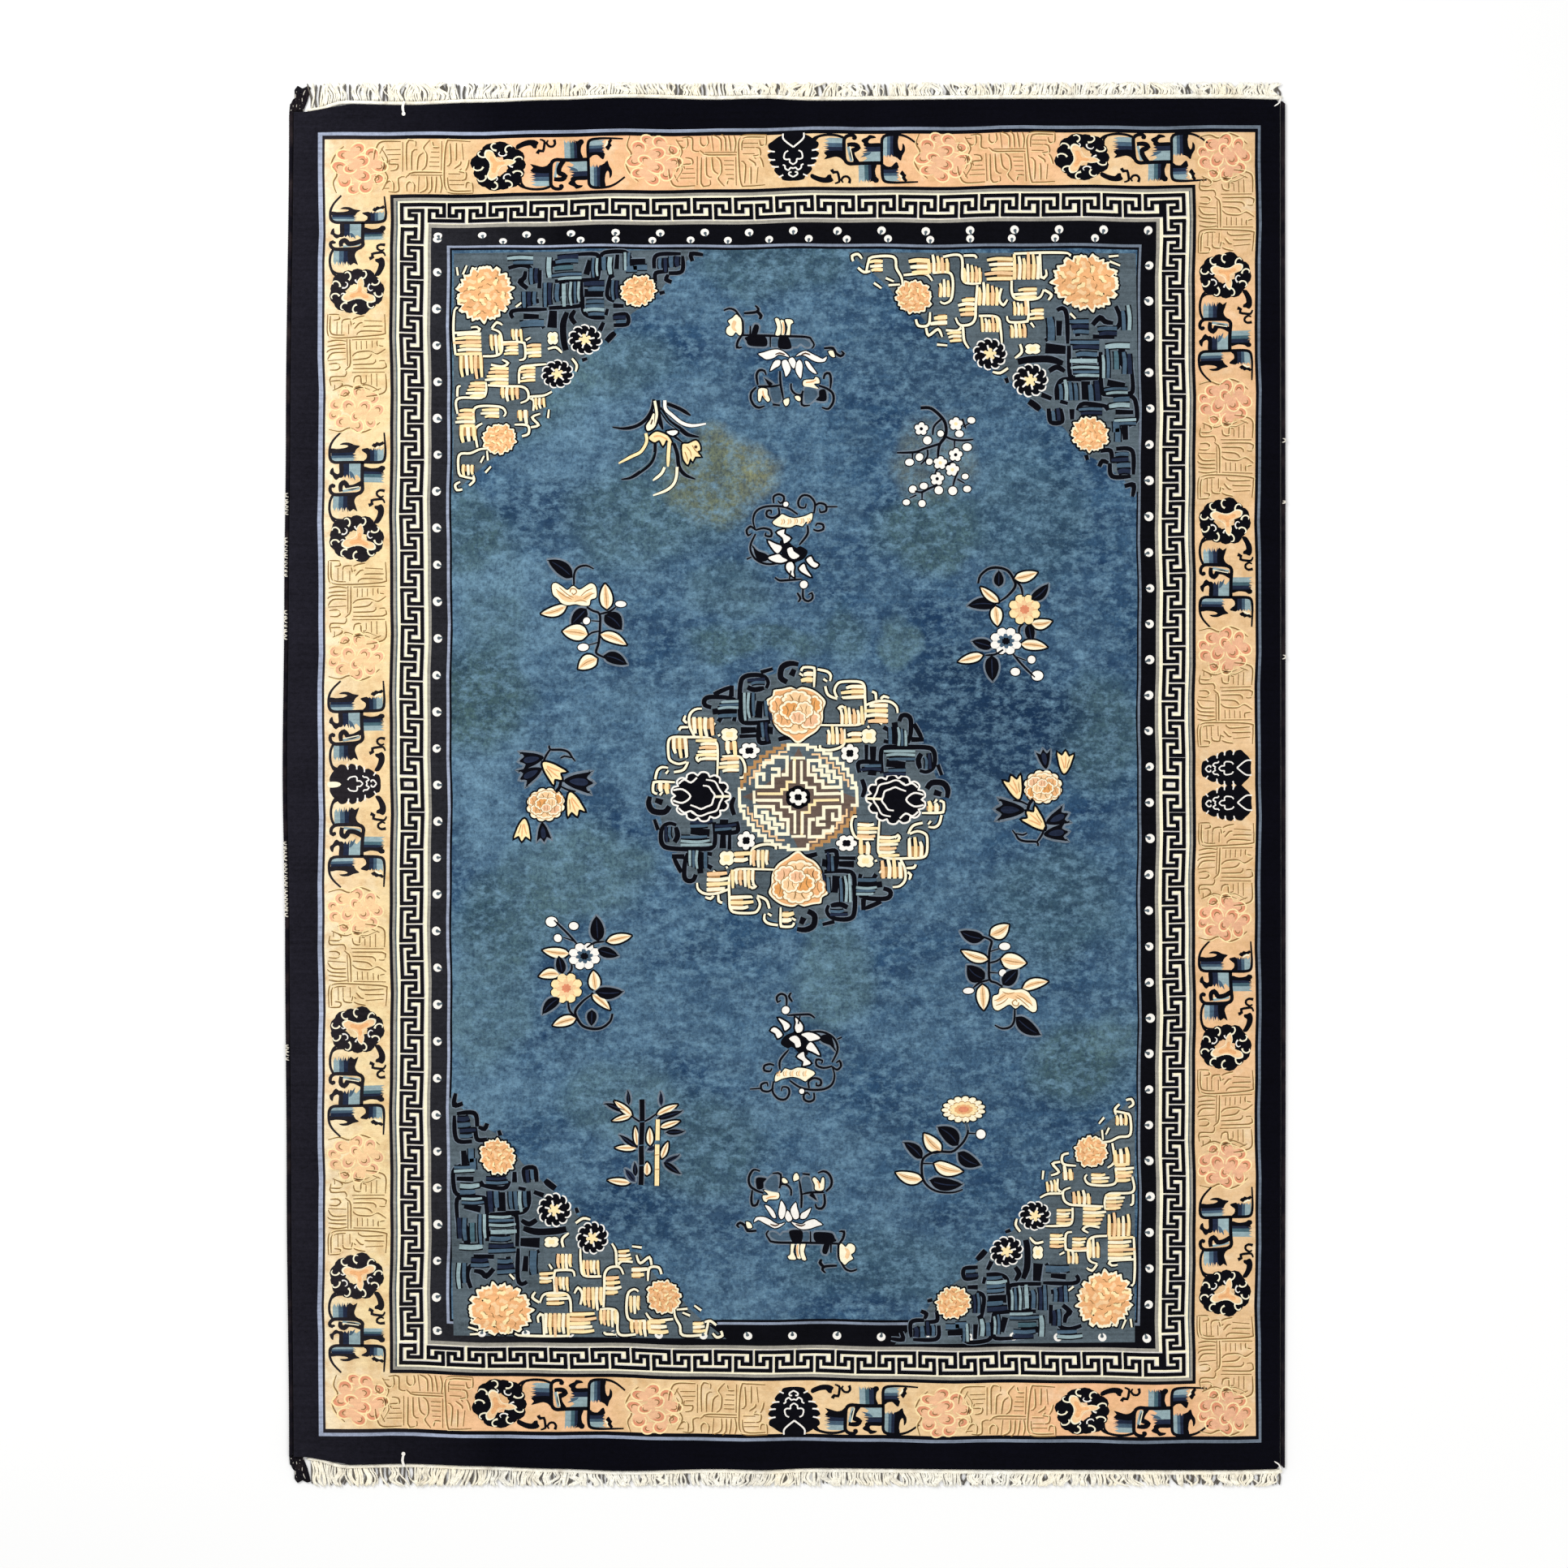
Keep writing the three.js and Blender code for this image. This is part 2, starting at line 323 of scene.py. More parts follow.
# %% The pen
PILE_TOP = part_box("rug_pile")[1].z
SINK = 0.0008                # how far an inlay reaches down into the pile
LEVEL = 0.00011              # one level of relief
EDGE_DROP = 0.00025          # a patch's rim is rounded down by this much
TINY_LIFT = 2.2e-6           # keeps neighbours of one level from sharing a height
TINY_LIFTS = 11
TINY = 1e-9
TAPER = 0.28                 # share of a stroke over which either end narrows
MITRE_LIMIT = 0.6            # a corner sharper than this is not widened further
LONG_WANDER = 0.7            # how far the weave wanders, in squares
SHORT_WANDER = 0.5

inlays = {}
pen = {"zone": "border", "matrix": np.eye(3), "count": 0, "bold": 1.0}


@contextmanager
def drawn_at(col, row, turn=0, size=1, flip_col=1, flip_row=1):
    """Draws what follows round a chart place. Turn is in degrees, clockwise on the chart."""
    before = pen["matrix"]
    angle = math.radians(turn)
    wide, high = (size, size) if np.isscalar(size) else size
    c, s = math.cos(angle), math.sin(angle)
    scale = np.diag([wide * flip_col, high * flip_row, 1])
    rotate = np.array([[c, -s, 0], [s, c, 0], [0, 0, 1]])
    shift = np.array([[1, 0, col], [0, 1, row], [0, 0, 1]])
    pen["matrix"] = before @ shift @ rotate @ scale
    yield
    pen["matrix"] = before


def on_chart(points):
    """Local motif points to chart places."""
    points = np.asarray(points, float)
    return points @ pen["matrix"][:2, :2].T + pen["matrix"][:2, 2]


print("pile top at", round(PILE_TOP * 1000, 2), "mm")

# %% From the chart to the cloth
# The end borders hang lower towards the left, most at the meander's outer edge
DROOP = 13.5
DROOP_FROM_COL = 1460.0
DROOP_TO_COL = 490.0
DROOP_POWER = 1.8
DROOP_ROWS = [120, 157, 232, 245, 266, 278, 303, 330]
DROOP_SHARES = [0.5, 0.63, 0.97, 1.0, 0.6, 0.72, 0.1, 0.0]


def on_cloth(places):
    """Chart places to metres. The weave wanders by a square or so, as hand work does."""
    col, row = places[:, 0], places[:, 1]
    from_end = np.minimum(row, 2 * MIDDLE_ROW - row)
    side = np.where(row < MIDDLE_ROW, 1.0, -1.0)
    reach = np.clip((DROOP_FROM_COL - col) / (DROOP_FROM_COL - DROOP_TO_COL), 0, 1)
    droop = DROOP * reach ** DROOP_POWER * np.interp(from_end, DROOP_ROWS, DROOP_SHARES) * side
    wander_col = LONG_WANDER * np.sin(row / 39 + 1) + SHORT_WANDER * np.sin(row / 17 + col / 90)
    wander_row = LONG_WANDER * np.sin(col / 43) + SHORT_WANDER * np.sin(col / 19 + row / 80)
    x = (col + wander_col - MIDDLE_COL) * STEP
    y = (MIDDLE_ROW - row - wander_row - droop) * STEP
    return np.column_stack([x, y])


print("the middle square lies at", on_cloth(np.array([[MIDDLE_COL, MIDDLE_ROW]])).round(4), "m")

# %% Lines through points
SHORT_STEP = 1.9             # points this close together, in chart units, get none between them


def curve_through(points, closed, gap):
    """A smooth line through given points, as closely spaced as the gap."""
    points = np.asarray(points, float)
    count = len(points)
    if count < 3 and not closed:
        return points
    result = []
    for i in range(count if closed else count - 1):
        if closed:
            p0, p1, p2, p3 = (points[(i + k) % count] for k in (-1, 0, 1, 2))
        else:
            p0, p1, p2, p3 = (points[min(max(i + k, 0), count - 1)] for k in (-1, 0, 1, 2))
        apart = np.hypot(*(p2 - p1))
        steps = 1 if apart < SHORT_STEP else max(2, int(math.ceil(apart / gap)))
        t = np.arange(steps)[:, None] / steps
        result.append(0.5 * (2 * p1 + (p2 - p0) * t + (2 * p0 - 5 * p1 + 4 * p2 - p3) * t ** 2
                             + (3 * p1 - p0 - 3 * p2 + p3) * t ** 3))
    if not closed:
        result.append(points[-1:])
    return np.vstack(result)


def straight_through(points, gap=24.0):
    """The same for straight runs, cut up only so that they can follow the weave."""
    points = np.asarray(points, float)
    result = []
    for p1, p2 in zip(points[:-1], points[1:]):
        steps = max(1, int(np.hypot(*(p2 - p1)) // gap))
        result.append(p1 + (p2 - p1) * (np.arange(steps)[:, None] / steps))
    result.append(points[-1:])
    return np.vstack(result)


print("points on a short curve:", len(curve_through([(0, 0), (12, 8), (24, 0)], False, 3.5)))

# %% Lists of points and faces
def sheet_of(dye):
    return inlays.setdefault((pen["zone"], dye), {"points": [], "faces": []})


def points_in(zone):
    return sum(len(sheet["points"]) for (name, _), sheet in inlays.items() if name == zone)


def top_height(level):
    pen["count"] += 1
    return PILE_TOP + LEVEL * (level + 1) + TINY_LIFT * (pen["count"] % TINY_LIFTS)


def add_points(sheet, flat, heights):
    """Adds rings of points, one ring for each height, and gives the first point's number."""
    start = len(sheet["points"])
    for ring, height in zip(flat, heights):
        sheet["points"].extend((x, y, height) for x, y in ring)
    return start


def join_rings(faces, first, count, rings, pairs, steps):
    """Adds faces between pairs of neighbouring rings, each of which has the same count of points."""
    for i in range(steps):
        j = (i + 1) % count
        for k in range(pairs):
            m = (k + 1) % rings
            faces.append([first + k * count + i, first + k * count + j,
                          first + m * count + j, first + m * count + i])


def unit(rows):
    """Each row as a direction of length one."""
    return rows / np.maximum(np.linalg.norm(rows, axis=1), TINY)[:, None]


def left_of(way):
    return np.column_stack([-way[:, 1], way[:, 0]])


def grown():
    """How many times larger than life the pen draws at present."""
    return abs(np.linalg.det(pen["matrix"][:2, :2])) ** 0.5


print("one level of relief:", round(LEVEL * 1000, 2), "mm")

# %% Strokes
def stroke(dye, points, width, level, ends=(1, 1), smooth=True, closed=False, gap=3.5):
    """A line of one dye. The ends say what share of the width is left at either tip."""
    grow = grown()
    line = curve_through(points, closed, gap / grow) if smooth else straight_through(points)
    line = on_cloth(on_chart(line))
    count = len(line)
    if closed:
        before, after = np.roll(line, 1, 0), np.roll(line, -1, 0)
    else:
        before = np.vstack([line[:1] * 2 - line[1:2], line[:-1]])
        after = np.vstack([line[1:], line[-1:] * 2 - line[-2:-1]])
    way_out = unit(after - line)
    way = unit(unit(line - before) + way_out)
    mitre = 1 / np.clip((way * way_out).sum(1), MITRE_LIMIT, 1)
    across = left_of(way)
    ramp = np.interp(np.linspace(0, 1, count), [0, TAPER, 1 - TAPER, 1], [ends[0], 1, 1, ends[1]])
    half = 0.5 * width * pen["bold"] * STEP * grow * (ramp * mitre)[:, None]
    left, right = line + across * half, line - across * half
    sheet = sheet_of(dye)
    top = top_height(level)
    low = PILE_TOP - SINK
    first = add_points(sheet, [right, right, left, left], [low, top, top, low])
    faces = sheet["faces"]
    join_rings(faces, first, count, 4, 4, count if closed else count - 1)
    if not closed:
        faces.append([first + k * count for k in range(4)])
        faces.append([first + k * count + count - 1 for k in (3, 2, 1, 0)])


print("a stroke narrows over", TAPER, "of its length at either end")

# %% Patches
def patch(dye, points, level=2, smooth=True, soft=0.4, gap=3.5):
    """A filled shape of one dye with a rounded rim."""
    grow = grown()
    outline = curve_through(points, True, gap / grow) if smooth else np.asarray(points, float)
    outline = on_cloth(on_chart(outline))
    area = np.dot(outline[:, 0], np.roll(outline[:, 1], -1)) - np.dot(
        outline[:, 1], np.roll(outline[:, 0], -1))
    if area < 0:
        outline = outline[::-1]
    inward = left_of(unit(np.roll(outline, -1, 0) - np.roll(outline, 1, 0)))
    inner = outline + inward * soft * STEP
    sheet = sheet_of(dye)
    top = top_height(level)
    count = len(outline)
    first = add_points(sheet, [outline, outline, inner], [PILE_TOP - SINK, top - EDGE_DROP, top])
    faces = sheet["faces"]
    join_rings(faces, first, count, 3, 2, count)
    faces.append([first + 2 * count + i for i in range(count)])
    faces.append([first + i for i in reversed(range(count))])


def disc(dye, a, b, radius, level=3, sides=10):
    angles = np.arange(sides) * 2 * math.pi / sides
    points = np.column_stack([a + radius * np.cos(angles), b + radius * np.sin(angles)])
    patch(dye, points, level, smooth=False)


print("a patch's rim drops by", round(EDGE_DROP * 1000, 2), "mm")

# %% Bands
BAND_STEPS = 40


def box_loop(box):
    """Points round a chart rectangle, which is given as left, top, right and bottom."""
    left, top, right, bottom = box
    t = (np.arange(BAND_STEPS) / BAND_STEPS)[:, None]
    corners = np.array([[left, bottom], [right, bottom], [right, top], [left, top]], float)
    return on_cloth(np.vstack([a + (b - a) * t for a, b in zip(corners, np.roll(corners, -1, 0))]))


def band(dye, outer, inner):
    """A frame of one dye between two chart rectangles."""
    sheet = sheet_of(dye)
    top, low = PILE_TOP + LEVEL, PILE_TOP - SINK
    outside, inside = box_loop(outer), box_loop(inner)
    count = len(outside)
    first = add_points(sheet, [outside, outside, inside, inside], [low, top, top, low])
    join_rings(sheet["faces"], first, count, 4, 4, count)


print("points round a band:", 4 * BAND_STEPS)

# %% [markdown]
# ## Grounds and guard stripes
# The borders are frames inside each other, from the outside in: the dark outer band (the
# pile's own ground), a light blue stripe, the wide gold border, dark and grey guard lines,
# the cream band of the meander, the dark band of the pearls, and the blue field.

# %% Frames
def chart_box(left, top, right):
    """The chart is the same seen from either end, so the bottom row mirrors the top one."""
    return (left, top, right, 2 * MIDDLE_ROW - top)


FRAMES = [
    # dye, then the left column, top row and right column where it starts
    ("sky", 392.6, 155.6, 1552.9),
    ("ink", 397.9, 159.5, 1549.6),
    ("gold", 400.8, 164.0, 1545.9),
    ("ink", 480.8, 228.4, 1472.5),
    ("pewter", 484.8, 232.6, 1468.5),
    ("twilight", 487.8, 236.1, 1465.8),
    ("cream", 489.8, 236.3, 1464.3),
    ("pewter", 527.4, 269.1, 1427.7),
    ("pearl_band", 531.3, 273.0, 1423.5),
    ("sky", 551.1, 300.9, 1405.2),
    ("ink", 554.6, 304.3, 1402.3),
    ("field", 557.3, 307.4, 1400.2),
]
pen["zone"] = "ground"
frame_boxes = [chart_box(*row[1:]) for row in FRAMES]
for (dye, *_), outer, inner in zip(FRAMES, frame_boxes[:-1], frame_boxes[1:]):
    band(dye, outer, inner)
print("guard stripes and grounds:", len(FRAMES) - 1)


FIELD_GAP = 33


def field_ground():
    """The field is one patch with its edge cut up, so that it follows the last frame."""
    left, top, right, bottom = frame_boxes[-1]
    corners = [(left, top), (left, bottom), (right, bottom), (right, top), (left, top)]
    patch("field", straight_through(corners, FIELD_GAP)[:-1], level=0, smooth=False, soft=0)


field_ground()

# %% [markdown]
# ## The meander
# A key pattern runs round the cream band as one unbroken dark line. On the real rug it turns
# each corner with a larger hook, and halfway down each side a small closed box lets the line
# start again the other way up. One period is a short table of turns, in shares of the period
# and of the band's depth, and a loop lays it along each side. A soft grey line, a painted shade,
# lies a little off each dark one.

# %% Meander table
KEY_STROKES = [
    # dye, width, level, shift; the grey line is a painted shade, shifted off the dark one
    ("dove", 4.6, 2, 1.3), ("ink", 4.7, 3, 0),
]
KEY_TURNS = [
    # share of the period, share of the depth
    (0, 0), (0.85, 0), (0.85, 0.66), (0.68, 0.66), (0.68, 0.34), (0.51, 0.34), (0.51, 1),
    (1.37, 1), (1.37, 0.34), (1.16, 0.34), (1.16, 0.66), (1, 0.66),
]
TOP_DEPTHS = (240.8, 265.2)
TOP_START = 553.1
TOP_PERIOD = 50.45
TOP_PERIODS = 17
SIDES = [
    # outer or inner column of the first turn, then the last, first row, period and its growth
    (495.6, 520.0, 283.1, 43.4, 0.11),
    (1434.0, 1457.6, 295.1, 42.2, 0.14),
]
SIDE_PERIODS = 14
TINY_RUN = 0.1               # a run shorter than this, in squares, isn't drawn
# Rows of the last turns before the middle one
BOX_TOP, BOX_LOW, BOX_MID, BOX_END, BOX_LAST = 912.5, 952.5, 944.5, 935.5, 961
BOTH_ENDS = (dict(row=0, flip_row=1), dict(row=2 * MIDDLE_ROW, flip_row=-1))


def key_line(starts, depths, upright):
    """The turns of several periods as chart points, along the rows or along the columns."""
    low, high = depths
    points = []
    for start, after in zip(starts[:-1], starts[1:]):
        for along, deep in KEY_TURNS:
            place = start + along * (after - start)
            across = low + deep * (high - low)
            points.append((across, place) if upright else (place, across))
    return points


def key_stroke(points):
    """The dark line and the grey painted shade beside it. A corner is square, so each run is its own."""
    for dye, width, level, shift in KEY_STROKES:
        for (a1, b1), (a2, b2) in zip(points[:-1], points[1:]):
            reach = math.hypot(a2 - a1, b2 - b1)
            if reach < TINY_RUN:
                continue
            da, db = (a2 - a1) / reach * width / 2, (b2 - b1) / reach * width / 2
            stroke(dye, [(a1 - da + shift, b1 - db + shift), (a2 + da + shift, b2 + db + shift)],
                   width, level, smooth=False)


print("turns in a period:", len(KEY_TURNS))

# %% Meander
def side_starts(first, period, growth):
    return [first + period * k + growth * k * k for k in range(SIDE_PERIODS + 1)]


def meander_half():
    """The top end and both sides down to the middle row."""
    row_a, row_b = TOP_DEPTHS
    starts = [TOP_START + TOP_PERIOD * k for k in range(TOP_PERIODS + 1)]
    start = starts[0]
    (l_out, l_in, l_first, l_period, l_growth), (r_in, r_out, r_first, r_period, r_growth) = SIDES
    third = (row_b - row_a) / 3
    left_third = (l_in - l_out) / 3
    right_third = (r_out - r_in) / 3
    left_corner = [
        (l_in, l_first + 14), (l_in, row_a + third), (l_out + left_third, row_a + third),
        (l_out + left_third, row_b - third), (l_in - left_third, row_b - third),
        (l_in - left_third, row_b + 2), (l_out - 1, row_b + 2), (l_out - 1, row_a),
        (start - 6.5, row_a), (start - 6.5, row_b - third), (start - 15, row_b - third),
        (start - 15, row_a + third), (start - 24.5, row_a + third), (start - 24.5, row_b),
        (start + 17, row_b), (start + 17, row_a + third), (start + 8.5, row_a + third),
        (start + 8.5, row_b - third), (start, row_b - third),
    ]
    top = key_line(starts, TOP_DEPTHS, False)
    near, far = r_out - 2 * right_third, r_out - right_third
    right_corner = [
        (starts[-1], row_a), (r_out, row_a), (r_out, row_b - 1), (near, row_b - 1),
        (near, row_b - third - 0.5), (far, row_b - third - 0.5), (far, row_a + third),
        (r_in, row_a + third), (r_in, row_b + 22), (far, row_b + 22), (far, row_b + 14.5),
        (near, row_b + 14.5), (near, row_b + 7.5), (r_out, row_b + 7.5), (r_out, row_b + 44.5),
        (near, row_b + 44.5), (near, row_b + 38), (far, row_b + 38), (far, r_first),
    ]
    right = key_line(side_starts(r_first, r_period, r_growth), (r_in, r_out), True)
    key_stroke(left_corner + top + right_corner + right)
    left = key_line(side_starts(l_first, l_period, l_growth), (l_out, l_in), True)
    left[0] = (l_out, l_first - 8)
    first_hook = [(l_in, l_first + 13), (l_out + left_third, l_first + 13),
                  (l_out + left_third, l_first + 4), (l_in - left_third, l_first + 4),
                  (l_in - left_third, l_first - 8)]
    key_stroke(first_hook + left)


def side_middles():
    """The last turns before the middle row, and the closed box on it."""
    for first, last, *_ in SIDES:
        third = (last - first) / 3
        inner = last - third
        key_stroke([(inner, BOX_TOP), (first, BOX_TOP), (first, BOX_LOW), (inner, BOX_LOW),
                    (inner, BOX_MID), (first + third, BOX_MID), (first + third, BOX_END),
                    (last, BOX_END), (last, MIDDLE_ROW)])
        key_stroke([(first, BOX_LAST), (inner, BOX_LAST), (inner, MIDDLE_ROW)])
        key_stroke([(first, BOX_LAST), (first, MIDDLE_ROW)])
        stroke("dove", [(first + 6, MIDDLE_ROW), (inner - 5, MIDDLE_ROW)], 2.5, 3, smooth=False)


pen["zone"] = "meander"
for end in BOTH_ENDS:
    with drawn_at(0, **end):
        meander_half()
        side_middles()
print("meander points:", points_in("meander"))

# %% [markdown]
# ## Pearls
# A row of white pearls sits on the dark band inside the meander. Each has a grey shade on the
# side away from the border. The top end's band carries a second row, closer to the field.

# %% Pearls
PEARL = 5.4
LEFT_PEARL_PITCH = 45.1
RIGHT_PEARL_PITCH = 44.1     # thirty pearls at the right, and one more at the left
END_PEARL_PITCH = 54.6
LEFT_PEARL_COL, RIGHT_PEARL_COL, END_PEARL_COL = 539.0, 1415.8, 976.5
TOP_PEARL_ROW, LOW_PEARL_ROW, SECOND_PEARL_ROW = 283.5, 285.5, 294.2
PEARL_SHADE = [(-0.8, -1.6), (1.2, -2.6), (3.4, -1.5), (6, -1.0), (6, 0.8), (3.2, 1.6), (1.0, 2.2),
               (-0.8, 1.0)]
SECOND_ROW = [620, 667, 715, 758, 803, 850, 896, 947, 996, 1043, 1094, 1146, 1195, 1246, 1299, 1348]


def pearl(col, row, shade_turn, size=1.0):
    with drawn_at(col, row, shade_turn, size):
        disc("bone", 0, 0, PEARL, 2, 14)
        patch("twilight", PEARL_SHADE, 3)


pen["zone"] = "meander"
for k in range(-15, 16):
    row = MIDDLE_ROW + 0.5 + LEFT_PEARL_PITCH * k
    pearl(LEFT_PEARL_COL, row, 25 * math.sin(k * 1.7), 1 + 0.06 * math.sin(k * 2.3))
for k in range(-15, 15):
    row = MIDDLE_ROW + RIGHT_PEARL_PITCH * (k + 0.5)
    pearl(RIGHT_PEARL_COL, row, 180 + 30 * math.sin(k * 2.1), 1 + 0.06 * math.sin(k * 1.3))
for k in range(-8, 9):
    col = END_PEARL_COL + END_PEARL_PITCH * k
    pearl(col, TOP_PEARL_ROW, 90 + 20 * math.sin(k), 0.98)
    pearl(col, 2 * MIDDLE_ROW - LOW_PEARL_ROW, -90 + 20 * math.sin(k * 1.4))
for col in SECOND_ROW:
    pearl(col, SECOND_PEARL_ROW, 90, 0.9)
print("pearls:", 31 + 30 + 17 * 2 + len(SECOND_ROW))

# %% [markdown]
# ## The wide border
# One motif is knotted over and over: a hooked fret in black and blues, a dark flower that curls
# like a letter C, a stretch of gold fretwork that shows only by its clipped edges, and a soft
# salmon peony. It is drawn once here on a strip 80 squares wide and about 304 long,
# and later cells set it down along each side. Blocks of dye fade from black to pale blue in
# stripes with ragged ends, as the knots change dye a few rows at a time.

# %% Border fret
def striped(dyes, along, start, end, cuts, ragged=2.2):
    """Stripes of several dyes side by side. The cuts part them, and their far ends are ragged."""
    for k, dye in enumerate(dyes):
        low, high = cuts[k], cuts[k + 1]
        third = (high - low) / 3
        outline = [(start, low), (start, high + 0.3), (end + ragged, high + 0.3),
                   (end - ragged, high - third), (end + ragged * 0.6, low + third), (end - ragged, low)]
        if along == "b":
            outline = [(b, a) for a, b in outline]
        patch(dye, outline, 2, smooth=False, soft=0.3)


FRET_BOLD = 1.3


def border_fret():
    """The hooked fret at the start of the motif."""
    pen["bold"] = FRET_BOLD
    stroke("ink", [(22, 13), (13, 22), (8.5, 30), (7.5, 39), (8.5, 46.5), (13, 50.4), (26, 50.8),
                   (50, 50.8), (67, 50.6), (74, 48), (75.8, 39), (75.6, 28), (74.6, 14)], 2.8, 3,
           (0.6, 0.5))
    striped(["navy", "slate", "mist"], "a", 9.5, 38, [37.5, 42, 45.2, 49.6])
    patch("ink", [(9.3, 33), (16, 33.9), (26.5, 33), (30.5, 30.8), (26.5, 29.4), (20, 29), (24, 26.6),
                  (31.6, 26.6), (37.4, 29.2), (45, 31), (41, 34.4), (39, 37.4), (35.8, 39), (9.3, 39)])
    striped(["navy", "slate", "mist"], "b", 50, 34.5, [56, 62, 66, 73.5], -1.6)
    patch("ink", [(46.4, 35.4), (50.7, 33.8), (56.8, 34.6), (56.8, 50.4), (48.6, 49.8), (52.2, 46.3),
                  (53, 41.4), (49.2, 38.4)])
    stroke("ink", [(60.5, 28.6), (63, 30.4), (65.8, 28), (69, 28.9), (74, 26)], 3.2, 3, (1, 0.8))
    stroke("cream", [(64.5, 33.5), (69, 30.5), (72.6, 31)], 1.5, 3)
    stroke("ink", [(47.6, 51), (47.5, 66), (48, 78), (48.2, 85), (42.5, 89.4), (24, 90.4), (13, 90),
                   (8.6, 85.5), (8.8, 80.2), (12.4, 78.2)], 3.4, 3, (1, 0.9))
    disc("ink", 12.4, 79.6, 2.6)
    striped(["navy", "mist"], "b", 52, 68.5, [24, 31.3, 45.4], 2.6)
    patch("slate", [(31.4, 62), (35, 63), (38, 68), (39, 73.5), (35.5, 69), (33.5, 71)], 3)
    patch("ink", [(7.4, 64), (9, 58.6), (12, 57), (12.8, 62), (16, 64.6), (19.2, 63.6), (19.2, 52.4),
                  (24.6, 52.4), (24.4, 68.4), (19.4, 69.8), (16, 72.4), (13, 70.6), (10.6, 66.4)])
    striped(["navy", "sage", "mist"], "a", 49, 73, [60, 65, 69, 75])
    patch("ink", [(49, 56), (58, 58), (67, 57), (70.4, 54.6), (75, 55.4), (75.6, 59), (72.6, 61.6),
                  (74.6, 64), (66, 62.4), (49, 62)])
    stroke("ink", [(22, 87), (21.2, 82), (22, 77.8), (25.6, 75.6), (28.6, 78.6), (30.6, 81.6), (38, 81),
                   (47, 76.4)], 4.6, 3, (0.8, 1))
    stroke("mist", [(24, 86.2), (34, 84.4), (45, 82.4)], 2.6, 2)
    stroke("cream", [(24, 84.2), (34, 82.6), (44, 80.8)], 0.9, 3)
    stroke("ink", [(12.4, 90.3), (9, 98), (8.4, 108.5), (10.6, 117), (15, 123.5), (30, 132)], 2.4, 3,
           (1, 0.5))
    stroke("ink", [(9.4, 116), (16.8, 121), (29, 121.5)], 2.0, 3, (1, 0.4))
    striped(["mist", "slate", "navy"], "b", 92, 109, [12.4, 19.4, 25, 31.2], 3)
    patch("ink", [(30.8, 90.6), (46, 89), (41, 93.6), (39, 98.6), (40.6, 103.8), (43, 111.4), (38, 108.4),
                  (34, 111.4), (30.8, 107)])
    stroke("ink", [(76, 85.6), (70.6, 84.6), (66.6, 87), (67, 91), (71.6, 93.4), (75, 91.6)], 2.2, 3,
           (1.3, 0.6))
    stroke("ink", [(56.8, 103.4), (61, 101.4), (60.4, 97.4), (67, 96), (74, 95.8), (76.4, 100.4)], 2.4, 3,
           (1.4, 0.6))
    patch("ink", [(64, 104), (68, 103.4), (72.3, 101.6), (75.6, 106), (75.8, 113), (73.4, 119),
                  (68.6, 125.4), (63, 124.6), (66.8, 117), (68.2, 110), (64.6, 107.6)])
    pen["bold"] = 1.0


print("the fret's lines are drawn", FRET_BOLD, "times as wide")

# %% [markdown]
# The C flower is a ring of round petals, open towards the fret, round a three-lobed core. A
# pale comma curls between each two petals. Where a side has its middle, a whole flower stands
# instead, drawn with jagged petals and a few pale contour lines.

# %% Border flowers
PETAL_STEPS = 5


def scalloped(wide, high, petals, depth, turn=0.0):
    """An outline of round petals."""
    points = []
    for k in range(petals * PETAL_STEPS):
        angle = 2 * math.pi * k / (petals * PETAL_STEPS) + turn
        bulge = abs(math.sin(math.pi * (k % PETAL_STEPS) / PETAL_STEPS))
        reach = 1 - depth + depth * bulge ** 0.6
        points.append((wide * reach * math.cos(angle), high * reach * math.sin(angle)))
    return points


FINE_GAP = 1.6               # spacing of a curve's points where a shape is small


def petal_ring(dye, centre, radii, first, last, count, radius, level):
    for turn in np.radians(np.linspace(first, last, count)):
        a = centre[0] + radii[0] * math.cos(turn)
        b = centre[1] + radii[1] * math.sin(turn)
        disc(dye, a, b, radius * (1 + 0.12 * math.sin(5 * turn + 1)), level, 12)


def comma(dye, a, b, reach, turn, width):
    """A short hooked line, fat at its head. It is drawn for a reach of 8 squares."""
    with drawn_at(a, b, turn, reach / 8):
        stroke(dye, [(-3, 3.4), (0.6, 3.2), (3.4, 0.4), (3.2, -3.2), (0.4, -4.4)], width * 8 / reach, 4,
               (1.5, 0.5), gap=FINE_GAP)


def trefoil(a, b, turn, size):
    with drawn_at(a, b, turn, size):
        lobes = [(0, -15), (3.4, -8), (2.8, -2), (8, 1), (15, 3), (17, 8), (11, 10.4), (3, 7.6), (-4, 8.4),
                 (-12, 12), (-17.4, 9.4), (-15, 4), (-7.4, 1), (-3.4, -3), (-3.8, -10)]
        patch("cream", [(1.1 * x, 1.1 * y) for x, y in lobes], 4)
        patch("peach", lobes, 5)
        patch("apricot", [(0.62 * x, 0.55 * y + 1.5) for x, y in lobes], 6)


def c_flower():
    petal_ring("ink", (41, 144), (23.5, 18.5), -250, 76, 13, 10.4, 2)
    stroke("ink", [(60, 128), (66, 136), (66, 146), (62, 154)], 11, 2, (0.9, 0.9))
    for turn in range(-236, 100, 41):
        angle = math.radians(turn)
        comma("cream", 41 + 27 * math.cos(angle), 144 + 21 * math.sin(angle), 9, turn + 60, 1.7)
    for turn in range(-206, 40, 62):
        angle = math.radians(turn)
        comma("bone", 41 + 18 * math.cos(angle), 144 + 13.5 * math.sin(angle), 7.5, turn + 150, 1.5)
    trefoil(45, 144, 8, 1.12)


